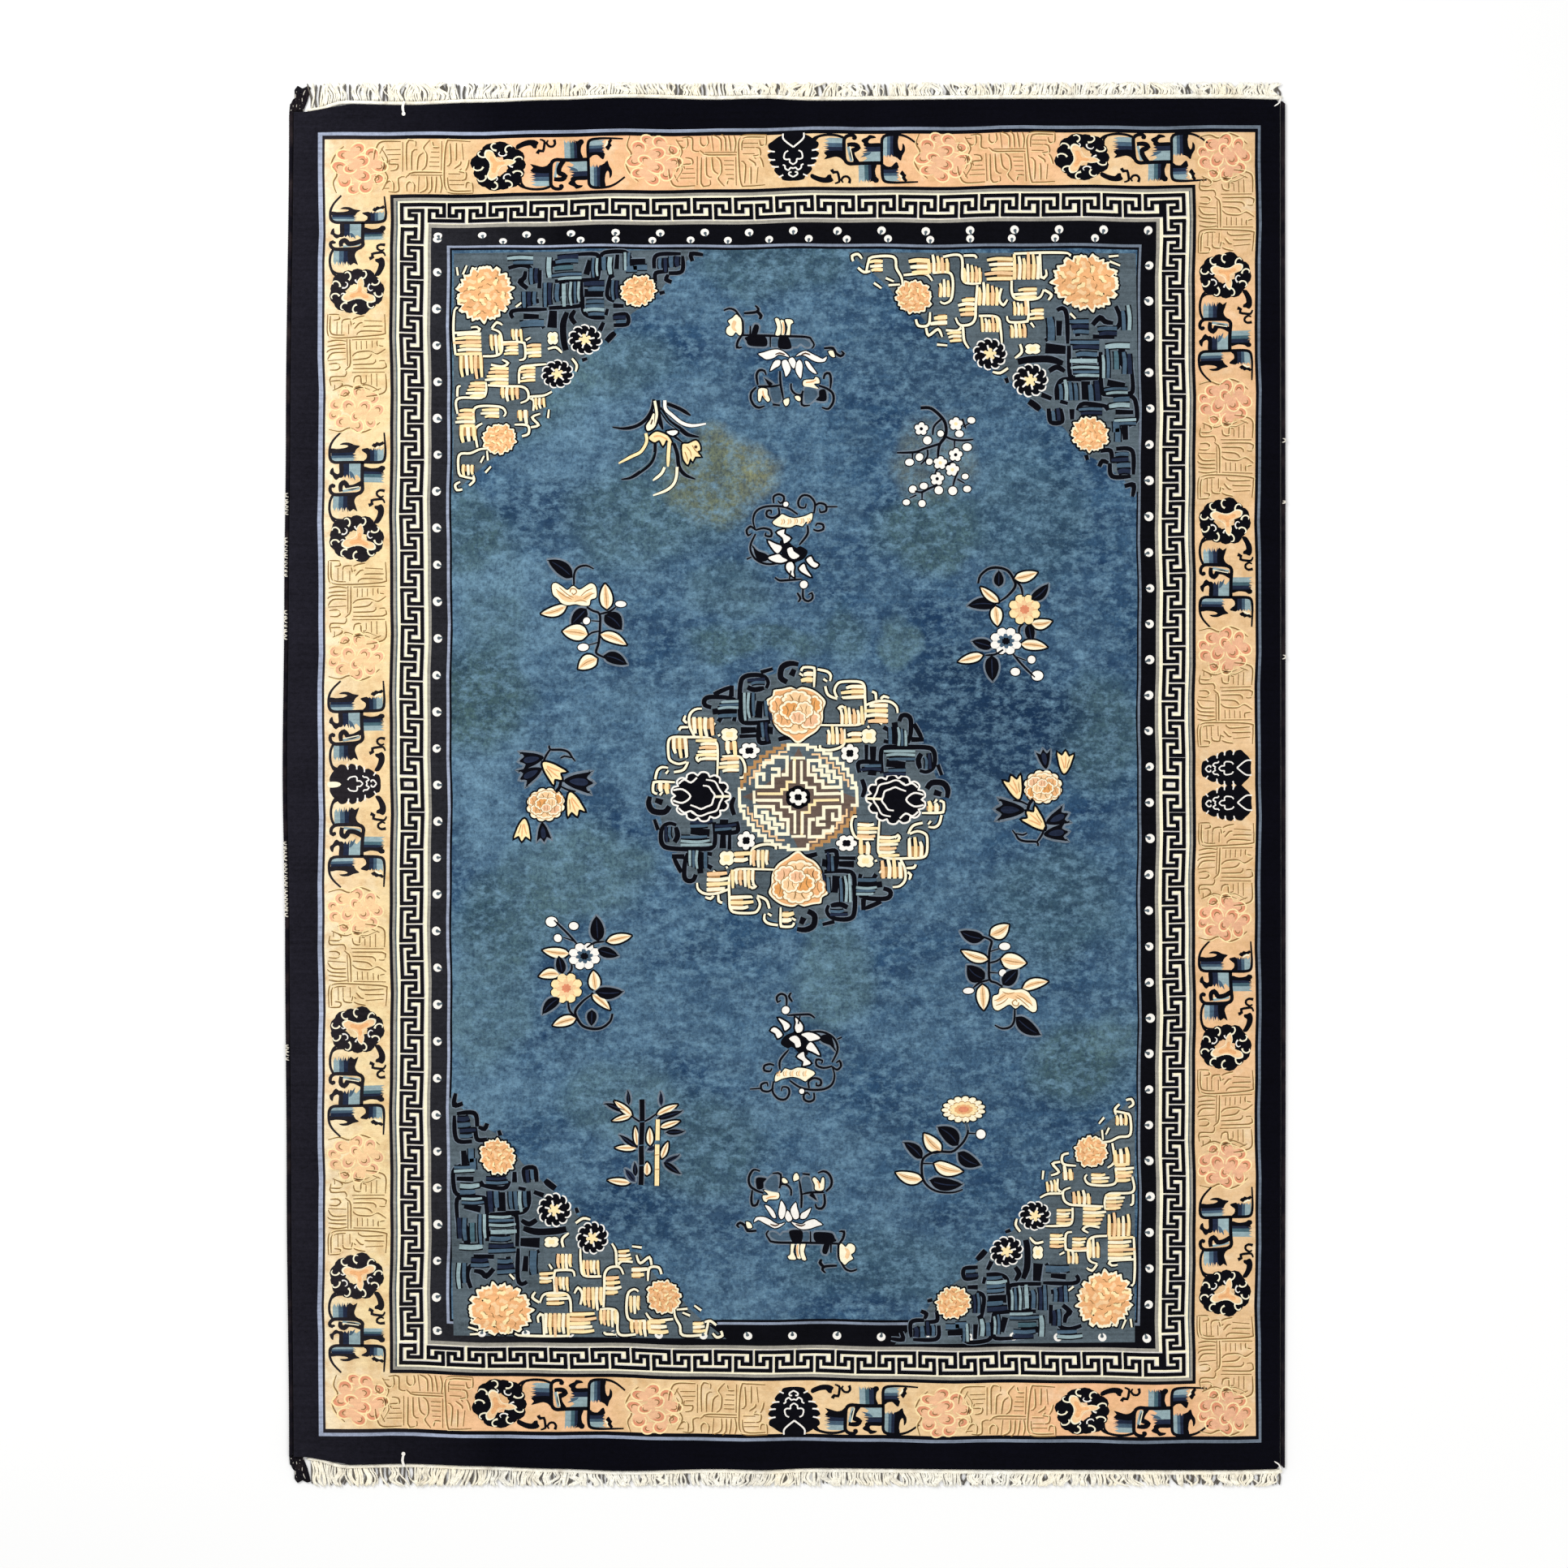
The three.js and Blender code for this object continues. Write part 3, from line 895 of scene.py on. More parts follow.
PEONY_EDGE = [
    # half of the outline, from the base at the left to the tip at the right
    (-31, -3), (-31.3, -8), (-28, -14.7), (-22.8, -20), (-18.3, -24.5), (-12.3, -23.7), (-9.3, -20.6),
    (-5.5, -25), (-0.3, -23.7), (2, -20.6), (5.7, -23), (9.5, -20.4), (11.3, -17), (16.2, -18.5),
    (22.2, -15.5), (25.2, -12), (29.7, -10.3), (31.5, -4.3), (31.5, 0),
]
PEONY_LINES = [
    [(-9.6, -25), (-9, -21), (-8.3, -18)], [(1.8, -24), (2.4, -20), (2.4, -17.6)],
    [(11.2, -21), (11.8, -17), (11.8, -14)], [(26, -14), (23, -9.6)],
    [(-8.8, -5), (-6.3, -8), (0.5, -9), (2.7, -6.6), (2.6, -3.6), (6.5, -3.2), (9.6, 0)],
    [(9.6, -10), (11, -8), (14.7, -7.6), (17, -4.6), (14, -2.4), (15, 0)],
    [(20, -1.6), (20, -3.6), (23, -4), (26.4, 0)],
]
NARROW_BASE = [(-33, -3), (-22, -3.2), (-17, 0)]
WIDE_BASE = [(-32, -10), (-26, -10), (-21, -7), (-13.5, 0)]


def whole_flower(a, b, size, base=WIDE_BASE):
    """A dark peony with ragged petals, drawn as one half and its mirror image."""
    with drawn_at(a, b, 0, size):
        patch("ink", PEONY_EDGE + [(x, -y) for x, y in PEONY_EDGE[-2::-1]], 2, gap=FINE_GAP)
        if base is NARROW_BASE:
            patch("cream", base + [(x, -y) for x, y in base[-2::-1]], 4)
        for mirrored in (1, -1):
            for line in PEONY_LINES:
                stroke("bone", [(x, mirrored * y) for x, y in line], 1.7, 4, (0.9, 0.9), gap=FINE_GAP)
            if base is WIDE_BASE:
                stroke("bone", [(x, mirrored * y) for x, y in base], 1.9, 4, (0.9, 1), gap=FINE_GAP)


print("lines on half a whole flower:", len(PEONY_LINES))

# %% [markdown]
# Between the dark motifs the gold ground is carved: the weaver clips a groove round a shape
# that has the ground's own colour. Each groove is a thin dark-gold line of painted shade, with a
# painted highlight beside it, where the cut pile catches the light. Soft peonies are groups of
# warm petals, carved in the same way.

# %% Carved fretwork
FRETWORK = [
    # lines of the carved fret, as places across and along the strip
    [(5.7, 1.5), (5.7, 23.5), (11.5, 30), (30.6, 30.8), (73, 28), (77, 22), (76, 3)],
    [(9, 3.4), (9, 21.5), (13.5, 26.6), (27, 27.4)], [(7, 1.5), (18.9, 2.2), (20.3, 7.3), (13, 8.8)],
    [(23.3, 13.2), (24.7, 8.8), (33.5, 8), (35, 14.7), (39.4, 12.5)], [(36.5, 8.4), (42, 6), (51, 4.4)],
    [(51, 10.3), (73, 11.7)], [(50, 18), (54, 17.6), (74, 17.6)],
    [(42.3, 27.9), (46.7, 23.5), (73, 24.2)], [(17.4, 10.5), (17.4, 26)], [(23.3, 14), (23.3, 26)],
    [(32, 14), (32, 26.4)], [(39, 20), (45, 13.5), (49, 13)], [(29.9, 32.4), (29.9, 66)],
    [(33.5, 33), (33.5, 62), (30, 68), (26.6, 71)], [(6, 35.4), (16, 33.6), (29, 35)],
    [(6, 41), (16, 39.6), (28, 38.9)], [(5, 48.4), (10, 44.6), (28, 44)],
    [(5.7, 57), (11.5, 49.4), (28, 49)], [(5.7, 58.6), (28, 57)],
    [(7, 63), (16, 62), (21, 66), (17, 70), (8, 70)], [(36.5, 33.7), (76, 33)],
    [(41.6, 35.6), (41.6, 46)], [(47.5, 35.6), (47.5, 46)], [(54, 35.6), (54, 45)],
    [(61, 35.4), (61, 44)], [(67.2, 35.4), (67.2, 41), (74.6, 42.5)],
    [(36, 54), (42, 49.4), (57, 48.4), (66, 52), (77, 45.5)], [(36.5, 58.6), (54, 57), (60, 52)],
    [(36.5, 64.5), (61.4, 63.8), (64.3, 58.6)],
    [(36.5, 69.6), (73, 69.6), (77, 64.5), (74.6, 60), (68.7, 60.4)], [(35, 74), (75, 74)],
    [(8.6, 89.4), (8.6, 79), (26, 78.4), (28, 72)], [(8.6, 84), (19, 83.6), (23, 88), (17, 93)],
    [(13, 95), (13, 88.4)], [(36.5, 86.5), (38, 80), (45, 79), (46, 88), (52, 87)], [(52, 78), (52, 86)],
    [(58.4, 76), (58.4, 90)], [(65, 76), (65, 92)], [(76, 76), (76, 96), (66, 102), (52, 104)],
    [(26, 92), (31, 98), (25, 103), (18, 101)], [(36, 95), (46, 93), (56, 96)], [(60, 98), (70, 94)],
]


def carved(points):
    """A groove drawn as a line of painted shade, and the painted highlight beside it."""
    stroke("carve", points, 1.7, 3, (0.6, 0.6))
    stroke("straw", [(a + 1.5, b + 1.3) for a, b in points], 1.0, 3, (0.5, 0.5))


print("carved lines:", len(FRETWORK))

# %% Soft peonies
SOFT_PETALS = [
    # place, radius
    (-24, -7, 9), (-13, -17, 9), (3, -20, 10), (18, -13, 9.5), (25, 1, 9), (17, 14, 9), (1, 18, 10),
    (-16, 14, 9.5), (-27, 5, 8), (-8, -3, 10), (8, -2, 10), (0, 7, 8),
]


CURL_STEPS = 7


def curl(radius, sway, start, stop):
    """A line that runs round a petal and turns in at its tip."""
    turn = np.linspace(start, stop, CURL_STEPS)
    reach = radius * (1.04 - 0.4 * np.linspace(0, 1, CURL_STEPS) ** 2)
    return [(r * math.cos(math.radians(t)), sway * r * math.sin(math.radians(t)))
            for r, t in zip(reach, turn)]


def soft_peony(a, b, size, warm, heart):
    """A carved peony of curled petals. Each has a warm body, a warmer fold, a curl of painted groove shade
    and a pale lip that is a painted highlight.
    """
    with drawn_at(a, b, 0, size):
        for k, (x, y, radius) in enumerate(SOFT_PETALS):
            outward = math.degrees(math.atan2(y, x))
            sway = 1 if k % 2 else -1
            with drawn_at(x, y, outward + 30 * sway, (1.16, 0.9)):
                patch(warm, scalloped(radius * 1.02, radius, 4, 0.14, k), 1)
                stroke(heart, curl(radius * 0.74, sway, -80, 96), radius * 0.36, 2, (0.2, 0.4))
                stroke("carve", curl(radius * 0.46, sway, -60, 90), 1.3, 3, (0.4, 0.4))
                stroke("straw", curl(radius * 1.02, sway, -100, 132), 1.9, 4, (0.2, 0.5))
        carved([(-34, 24), (-20, 27), (-8, 23), (4, 29), (18, 25), (30, 16)])
        carved([(-30, -25), (-14, -31), (-2, -28), (12, -31), (28, -24)])


print("petals of a soft peony:", len(SOFT_PETALS))

# %% The border set down
def carved_stretch(warm, heart):
    with drawn_at(0, 170):
        for line in FRETWORK:
            carved(line)
    soft_peony(40, 290, 0.98, warm, heart)


def border_motif(flower=c_flower, warm="blush", heart="rose"):
    border_fret()
    flower()
    carved_stretch(warm, heart)


def middle_flower():
    whole_flower(39, 143.5, (1.06, 1.08))


LEFT_STRIP = 399             # the column where the border's strip starts at the left
RIGHT_STRIP = 1470.3
RIGHT_SIZE = (0.95, 1)       # the right and end borders are narrower than the left one
TOP_STRIP = 158.5
TOP_SIZE = (0.86, 1.18)
pen["zone"] = "border_side"
for end in BOTH_ENDS:
    with drawn_at(0, **end):
        for row in (216, 520):
            with drawn_at(LEFT_STRIP, row):
                border_motif(warm="peach", heart="shell")
        with drawn_at(LEFT_STRIP, 826):
            border_fret()
        for row in (484, 787):
            with drawn_at(RIGHT_STRIP, row, size=RIGHT_SIZE, flip_row=-1):
                border_motif(warm="shell", heart="rose")
        with drawn_at(RIGHT_STRIP, 1091, size=RIGHT_SIZE, flip_row=-1):
            carved_stretch(warm="shell", heart="rose")
whole_flower(438, MIDDLE_ROW, (1, 1), NARROW_BASE)
for side in (-1, 1):
    with drawn_at(1510.5, MIDDLE_ROW + 2 + 21.5 * side, 180):
        whole_flower(0, 0, (0.98, 0.9))

pen["zone"] = "border_end"
for end in BOTH_ENDS:
    with drawn_at(0, **end):
        with drawn_at(1503, TOP_STRIP, 90, TOP_SIZE):
            border_motif()
        with drawn_at(1147, TOP_STRIP, 90, TOP_SIZE):
            border_motif(middle_flower)
        with drawn_at(785, 232, 90, TOP_SIZE, flip_col=-1):
            border_motif()
print("border points:", points_in("border_side") + points_in("border_end"))

# %% [markdown]
# ## Flowers of the field
# Sprays of flowers float on the blue. Dark stems and leaves have a faint pale rim, a painted
# highlight where the pile is clipped round them, and pale petals have a dark one. A few small
# helpers draw a stem, a leaf, a flower with scalloped petals and a bud, and each spray is then a
# short list of them.

# %% Stems and leaves
DARK_DYES = ("ink", "navy", "slate", "sage")


def vine(points, width=2.6, ends=(0.8, 0.6)):
    # the wider pale line under the stem is a painted highlight on its clipped rim
    stroke("haze", points, width + 2.8, 1, ends)
    stroke("ink", points, width, 3, ends)


def filled(dye, points, edge=4.2, level=3):
    """A patch with a clipped rim: a pale painted highlight round a dark dye and dark round a pale one."""
    rim = "haze" if dye in DARK_DYES else "ink"
    stroke(rim, points, edge, level - 1, closed=True)
    patch(dye, points, level)


def leaf_outline(base, tip, wide, bend):
    """The outline of a leaf, and the line of its vein."""
    base, tip = np.array(base, float), np.array(tip, float)
    way = tip - base
    reach = np.hypot(*way)
    across = np.array([-way[1], way[0]]) / reach
    rim = []
    for t in np.linspace(0, 1, 8):
        rim.append((t, wide / 2 * math.sin(math.pi * t ** 0.8) ** 0.75 + 0.25))
    middle = [base + way * t + across * bend * math.sin(math.pi * t) for t, _ in rim]
    left = [m + across * half for m, (_, half) in zip(middle, rim)]
    right = [m - across * half for m, (_, half) in zip(middle, rim)]
    return left + right[::-1], middle


def leaf(dye, base, tip, wide, bend=0.0):
    outline, middle = leaf_outline(base, tip, wide, bend)
    filled(dye, outline)
    if dye in DARK_DYES:
        stroke("navy" if dye == "ink" else "ink", middle[1:-1], 1.4, 4, (0.6, 0.4))
    else:
        inner, _ = leaf_outline(base, tip, wide * 0.42, bend)
        patch("peach", inner, 4)
        stroke("tan", middle[1:-1], 1.1, 5, (0.6, 0.4))


print("dyes with a pale rim:", ", ".join(DARK_DYES))

# %% Petals and buds
RUFFLES = [
    # middle, half width and half height as shares of the flower, dye, and the number of lobes
    (-0.02, 0.46, 0.62, 0.46, "peach", 9), (-0.60, -0.26, 0.40, 0.46, "apricot", 8),
    (0.60, -0.30, 0.38, 0.44, "amber", 8), (0.44, 0.28, 0.46, 0.42, "blush", 8),
    (-0.42, 0.26, 0.44, 0.40, "apricot", 8), (0.02, -0.52, 0.56, 0.40, "peach", 9),
    (-0.18, -0.08, 0.46, 0.42, "amber", 8), (0.30, -0.10, 0.34, 0.36, "peach", 7),
    (0.04, 0.22, 0.32, 0.30, "blush", 7),
]


def ruffle(x, y, wide, high, dye, lobes, level):
    """One petal: a groove of painted shade round it, a pale lip and a warm body with two veins of painted
    groove shade.
    """
    with drawn_at(x, y):
        patch("tan", scalloped(wide * 1.07, high * 1.07, lobes, 0.1), level)
        patch("cream", scalloped(wide, high, lobes, 0.12), level + 0.3)
        patch(dye, scalloped(wide * 0.8, high * 0.8, lobes, 0.16), level + 0.6)
        for share in (-0.36, 0.2):
            vein = [(share * wide, 0.5 * high), (share * 0.7 * wide, 0), (share * 1.3 * wide, -0.5 * high)]
            stroke("carve", vein, wide * 0.08, level + 0.8, (0.5, 0.5))


def ruffles(wide, high, level=4):
    for k, (x, y, share_wide, share_high, dye, lobes) in enumerate(RUFFLES):
        ruffle(x * wide, y * high, share_wide * wide, share_high * high, dye, lobes, level + k)


def ruffled_peony(a, b, wide, high):
    """A full peony: a scalloped rim, and ruffled petals one over another inside it."""
    with drawn_at(a, b):
        filled("cream", scalloped(wide, high, 12, 0.12), 3.4)
        patch("peach", scalloped(wide * 0.9, high * 0.9, 12, 0.12, 0.2), 4)
        with drawn_at(0, 0, 0, 0.92):
            ruffles(wide, high)


def daisy(a, b, wide, high, petals, dye, core, heart, core_share):
    """An open flower with round petals round a star-shaped core."""
    with drawn_at(a, b):
        filled(dye, scalloped(wide, high, petals, 0.2), 2.2)
        for k in range(petals):
            angle = 2 * math.pi * k / petals
            c, s = math.cos(angle), math.sin(angle)
            stroke("dove" if dye == "bone" else "apricot",
                   [(wide * 0.78 * c, high * 0.78 * s), (wide * 0.5 * c, high * 0.5 * s)], 1.1, 4)
        patch(core, scalloped(wide * core_share, high * core_share, petals, 0.3, 0.3), 4)
        patch(heart, scalloped(wide * core_share * 0.5, high * core_share * 0.5, petals, 0.2), 5)


def bud(a, b, wide, high=None):
    high = high or wide
    with drawn_at(a, b):
        filled("bone", [(wide * math.cos(t), high * math.sin(t)) for t in np.arange(8) * math.pi / 4], 2.2)


def three_pointed(dye, base, turn, size):
    """A leaf or bell with three points, which starts at its base and opens away from it."""
    with drawn_at(*base, turn, size):
        outline = [(0, -1.6), (7, -5.5), (14, -7.6), (23, -9.4), (19.6, -4), (25.6, 0), (19.6, 4.4),
                   (23, 9.4), (14, 7.6), (7, 5.5), (0, 1.6)]
        filled(dye, outline)
        if dye in DARK_DYES:
            patch("navy", [(4, 0), (10, -3), (18, -3), (21, 0), (18, 3), (10, 3)], 4)
        else:
            stroke("apricot", [(5, 0), (12, -2.4), (18, -5)], 1.6, 4, (1, 0.4))
            stroke("apricot", [(6, 1), (13, 1), (21, 0.4)], 1.6, 4, (1, 0.4))
            stroke("tan", [(6, 3), (12, 4), (17, 5.4)], 1.1, 4, (1, 0.4))


print("ruffled petals:", len(RUFFLES))

# %% [markdown]
# The first sprays. Places are counted from the corner of each spray's own square of the chart.
# Three of them are set twice, the second time turned half round, as weavers did to make the
# rug look right from either end.

# %% Camellia spray
def camellia_spray():
    vine([(47, 36), (48, 22), (53, 14.6), (63, 12.6), (72, 17)])
    leaf("ink", (46, 27), (16, 5), 17, 2)
    bowl = [(20, 36), (25, 33), (33, 38), (39, 42), (46, 37), (53, 42), (61, 38), (68, 34.6), (73.6, 39),
            (74, 52), (67, 55), (65, 62), (56, 62), (48, 60), (38, 61), (30, 57.4), (27, 53), (21, 47.6)]
    filled("cream", bowl, 2.6)
    patch("peach", [(25, 43), (33, 45), (38, 50), (46, 48), (56, 50), (64, 46), (70, 46), (62, 56),
                    (50, 57), (38, 57), (30, 52)], 4)
    for line in ([(25, 41), (33, 48), (44, 54)], [(29, 38.6), (38, 47), (46, 52)], [(47, 57), (55, 55),
                                                                                    (62, 58)], [(55, 50),
                                                                                                (62, 44),
                                                                                                (70, 41)],
                 [(58, 54), (66, 49), (72, 47)]):
        stroke("tan", line, 1.2, 5, (0.6, 0.5))
    stroke("tan", [(42, 45), (43, 41), (48, 41), (50, 45), (46, 48), (44, 45.6)], 1.4, 5)
    leaf("cream", (37, 62), (6, 71), 12, -2)
    leaf("ink", (62, 66), (43, 85), 17)
    bud(62, 81, 4.6)
    leaf("cream", (64, 98), (33, 93), 19, 1)
    bud(59, 113.6, 7, 4.8)
    leaf("cream", (76, 128), (53, 140), 17, 2)
    vine([(62, 64), (70, 69), (78, 73), (79, 90), (78, 108), (75, 118), (76, 122), (84, 126), (92, 129)],
         3.0)
    vine([(78, 73), (90, 70), (98, 64)], 2.6)
    vine([(78, 82), (68, 81)], 2)
    vine([(78, 94), (69, 96), (64, 100)], 2.2)
    vine([(77, 108), (66, 111)], 2)
    leaf("cream", (87, 67), (85, 36), 15)
    bud(104, 60.4, 7, 4)
    leaf("ink", (84, 74), (106, 92), 20, -3)
    leaf("cream", (80, 98), (112, 110), 12, -2)
    leaf("ink", (84, 124), (113, 134), 15, -2)


print("drawn as a function:", camellia_spray.__name__)

# %% Rose and lily sprays
def rose_spray():
    vine([(25, 29), (28, 19.6), (38, 11.6), (50, 10.4), (62, 14.6), (69, 25.6), (70, 34), (60, 45.6),
          (48, 53.6)], 3.2)
    vine([(68, 24), (77, 33.6), (79, 46)])
    leaf("cream", (70, 24), (98, 16), 12, 1)
    leaf("ink", (50, 34), (51, 14), 12)
    leaf("ink", (89, 50), (111, 30), 13, 2)
    leaf("cream", (49, 53), (28, 34), 10, -1)
    leaf("ink", (46, 56), (11, 56), 15, 2)
    leaf("cream", (45, 58), (48, 82), 14)
    leaf("cream", (90, 79), (115, 76), 12, 2)
    leaf("ink", (86, 79), (91, 102), 12)
    vine([(80, 79), (75, 84), (75, 92)])
    leaf("cream", (78, 104), (110, 108), 12, -1)
    leaf("ink", (43, 108), (17, 100), 13)
    leaf("ink", (42, 118), (43, 150), 17)
    leaf("cream", (31, 118), (1, 125), 11)
    vine([(56, 111), (46, 117), (34, 118)])
    vine([(68, 116), (80, 130), (95, 145)], 2.6)
    vine([(70, 119), (84, 124)], 2.2)
    daisy(81, 61.6, 20, 19, 8, "straw", "peach", "salmon", 0.62)
    daisy(59, 100.6, 20, 17, 8, "bone", "slate", "ink", 0.56)
    bud(91, 123, 5)
    bud(71, 138, 6, 5)
    bud(98, 143, 7.4, 6.4)


def lily_spray():
    vine([(53, 8.6), (54, 13.6), (68, 14.6), (76, 17.6), (80, 23.6), (84, 29)], 2.8)
    vine([(66, 25), (71, 22.6), (80, 24.6)], 2.2)
    vine([(54, 13.6), (48, 22), (43, 34)])
    three_pointed("ink", (45, 23), 172, 1.18)
    three_pointed("ink", (42, 37), 155, 1.16)
    three_pointed("straw", (45, 30), 45, 1.2)
    three_pointed("ink", (70, 53), 4, 1.4)
    vine([(66, 50), (64, 60), (60, 66), (58, 74)], 4)
    vine([(66, 60), (74, 64), (84, 66)], 2.4)
    three_pointed("straw", (77, 68), 72, 1.16)
    ruffled_peony(47, 81.6, 24, 21)
    three_pointed("straw", (21, 99), 96, 1.05)
    three_pointed("ink", (43, 104), 83, 0.95)


print("drawn as functions:", rose_spray.__name__, lily_spray.__name__)

# %% [markdown]
# The scroll is a bowl of pale petals with spiral tendrils, and the lotus has a seed pod, large
# white petals and stems bent into frets.

# %% Scroll
SCROLL_TENDRILS = [
    [(34, 20), (33.6, 12), (40, 9), (46, 12), (46, 18), (42, 20), (39, 17)],
    [(64, 34.6), (52, 26.6), (38, 23.6), (22, 24.6), (12, 30.6), (9, 41.6), (12, 52.6)],
    [(40, 25.6), (41, 33.6), (34, 38), (26, 35.6), (26, 29.6), (31, 29), (31, 33)],
    [(84, 34), (85, 21.6), (78, 12.6), (69, 11.6), (64.4, 18.6), (66, 25.6), (73, 26.6), (74, 21.6)],
    [(84, 26), (90, 21.6), (98, 23.6), (99, 30.6), (92, 32.6), (91, 28)], [(98, 26), (113, 25.6)],
    [(83, 53.6), (88, 55.6), (95, 53.6), (95, 48), (88, 46.6), (86, 50)],
    [(76, 48.6), (75.6, 59.6), (65, 72.6)], [(12, 52.6), (6, 48.6), (1, 53.6), (3, 59.6), (7, 57)],
    [(12, 53), (22, 50.6), (31, 53.6), (31, 60.6), (24, 59.6), (25, 56)],
    [(12, 57.6), (5, 73.6), (10, 87.6), (24, 94.6), (42, 93.6), (48, 91)], [(0, 88.6), (6, 86)],
    [(34, 111.6), (40, 115.6), (50, 115.6), (68, 115)], [(54, 104), (52, 114)],
    [(62, 131.6), (66, 138.6), (63, 143)],
    [(69, 127), (69.6, 138.6), (76, 142), (81, 138), (80, 132), (76, 134)],
]
SCROLL_PETALS = [
    [(38, 56), (48, 52.6), (47, 58), (55, 64), (47, 70), (45, 63)],
    [(27, 66), (36, 70), (43, 73), (43, 77), (38, 82), (32, 76)],
    [(26, 87), (34, 84), (40, 83), (44, 87), (50, 91), (42, 94), (33, 92)],
    [(50, 77), (56, 75), (58, 80), (65, 86), (58, 90), (52, 86)],
    [(49, 95), (55, 93), (58, 99), (57, 106), (58, 112), (52, 107), (48, 101)],
    [(64, 101), (70, 96), (73, 103), (79, 112), (72, 109), (66, 105)],
    [(73, 91), (79, 87), (82, 93), (88, 97), (84, 101), (78, 98)],
]


def scroll():
    for line in SCROLL_TENDRILS:
        vine(line, 2.7)
    patch("ink", [(42, 66), (52, 68), (56, 72), (62, 76), (66, 74), (75, 80), (72, 88), (66, 92),
                  (60, 94), (56, 100), (50, 92), (44, 86), (42, 78)], 2)
    filled("ink", [(8, 72), (14, 78), (24, 82), (28, 88), (20, 92), (12, 88)])
    for petal in SCROLL_PETALS:
        filled("bone", petal)
    filled("cream", [(33, 43.6), (42, 36), (45, 33.6), (52, 37), (60, 39), (68, 38), (74, 36.6),
                     (82, 33.6), (81, 42.6), (74, 44.6), (70, 49.6), (62, 47.6), (54, 50.6), (40, 48.6)],
           2.4)
    for x in (44, 52, 60, 68, 76):
        stroke("peach", [(x, 40), (x + 1.4, 43), (x - 0.4, 47)], 2.2, 4, (1, 0.5))
        stroke("tan", [(x + 2.6, 40), (x + 4, 43), (x + 2.6, 46)], 0.9, 5, (1, 0.5))
    bud(49, 21.6, 3.4)
    bud(70, 121.6, 5)


print("scroll tendrils:", len(SCROLL_TENDRILS), "petals:", len(SCROLL_PETALS))

# %% Lotus
LOTUS_STEMS = [
    ([(2, 12), (9, 9.6), (16, 12), (21, 19), (25.4, 27), (26.4, 43)], 2.6),
    ([(25, 43), (20, 50), (19, 58), (25, 58)], 3.0),
    ([(25, 43), (64, 45), (104, 46), (111, 50), (114, 56), (111, 60)], 3.0),
    ([(27, 16), (42, 15), (44.6, 11), (40.6, 7)], 3.2), ([(43, 14), (48, 20), (46, 24)], 4.0),
    ([(35, 44), (35, 32)], 3.0), ([(60, 46), (60, 59)], 2.6), ([(71, 88), (71, 104), (74, 122)], 2.8),
    ([(43, 105), (42, 93), (46, 87), (52, 88), (53.6, 93)], 3.0),
    ([(43, 107), (60, 107), (70, 105)], 2.8),
    ([(41, 108), (35, 114), (34, 122), (38, 130), (44, 133), (51, 131)], 3.0),
    ([(61, 129), (70, 130)], 3.4), ([(84, 103), (84, 110), (89, 116), (96, 117), (99, 112)], 2.6),
    ([(98, 112), (97, 129), (107, 130)], 2.6),
    ([(124, 98), (126, 92), (131, 91), (133, 98), (132, 110)], 3.0),
    ([(118, 106), (128, 110), (135, 116), (136, 126), (130, 135), (122, 133)], 3.0),
    ([(126, 60), (137, 60), (140, 66), (146, 70), (150, 67), (147, 64)], 3.2),
]
LOTUS_DARK = [
    [(28, 46), (38, 44), (54, 46), (56, 57), (45, 58), (33, 56), (30, 50)],
    [(71, 46), (82, 46), (86, 60), (70, 60)], [(36, 44), (39, 32), (42, 30), (46, 33), (43, 44)],
    [(52, 97), (57, 100), (62, 104), (56, 106)],
    [(118, 112), (126, 111), (127, 125), (114, 124), (118, 119)],
]
LOTUS_MIST = [
    [(62, 48), (69.4, 48), (69, 58), (62, 58)],
    [(84, 49), (100, 48), (109, 53), (109, 58), (103, 58), (97, 54), (93, 58), (85, 57)],
    [(58, 109), (69, 108), (71, 124), (62, 126)],
    [(101, 108), (114, 111), (116, 118), (108, 127), (101, 127)],
]
LOTUS_PALE = [
    [(65, 24), (70, 24), (73, 34), (72, 44), (66, 44), (68, 34)],
    [(71.6, 26), (76, 26), (78, 36), (77, 44), (73.5, 44), (74, 34)],
    [(77.6, 25), (86, 25), (88, 29), (85, 31), (84, 44), (79.5, 44), (81, 34)],
    [(8, 24), (13, 21), (17, 17), (21, 20), (24, 25), (24.4, 41), (21, 43), (17, 39), (14, 43), (9, 43),
     (5, 39), (6, 33), (10, 30), (7.5, 26)],
    [(45, 67), (52, 65), (62, 62), (72, 62), (80, 67), (83, 71), (76, 69), (70, 68), (64, 72), (55, 74),
     (50, 71)],
    [(91, 70), (97, 65), (104, 63), (110, 66), (118, 70), (124, 73), (129, 70), (127, 76), (118, 77),
     (110, 74), (104, 70), (98, 68)],
    [(72, 75), (71, 81), (66, 84), (59, 88), (62, 80), (66, 75)],
    [(74, 76), (79, 74), (83, 80), (84, 87), (78, 95), (76, 88), (74, 82)],
    [(82, 74), (87, 71), (91, 77), (88, 85), (84, 80)],
    [(92, 77), (96, 74), (99, 80), (98, 89), (96, 97), (92, 92), (90, 86)],
    [(102, 76), (106, 76), (111, 83), (116, 91), (111, 90), (105, 84)],
    [(44, 110), (54, 110), (55, 117), (58, 123), (55, 126), (50, 121), (48, 118), (46, 125), (43, 124)],
    [(74, 124), (81, 121), (81, 128), (77, 131)], [(88, 119), (93, 118), (96, 122), (94, 125), (90, 123)],
    [(100, 99), (112, 98), (114, 95), (118, 97), (119, 103), (112, 104), (118, 110), (108, 108),
     (99, 106)],
    [(131, 64), (137, 63), (139, 71), (134, 70)],
]


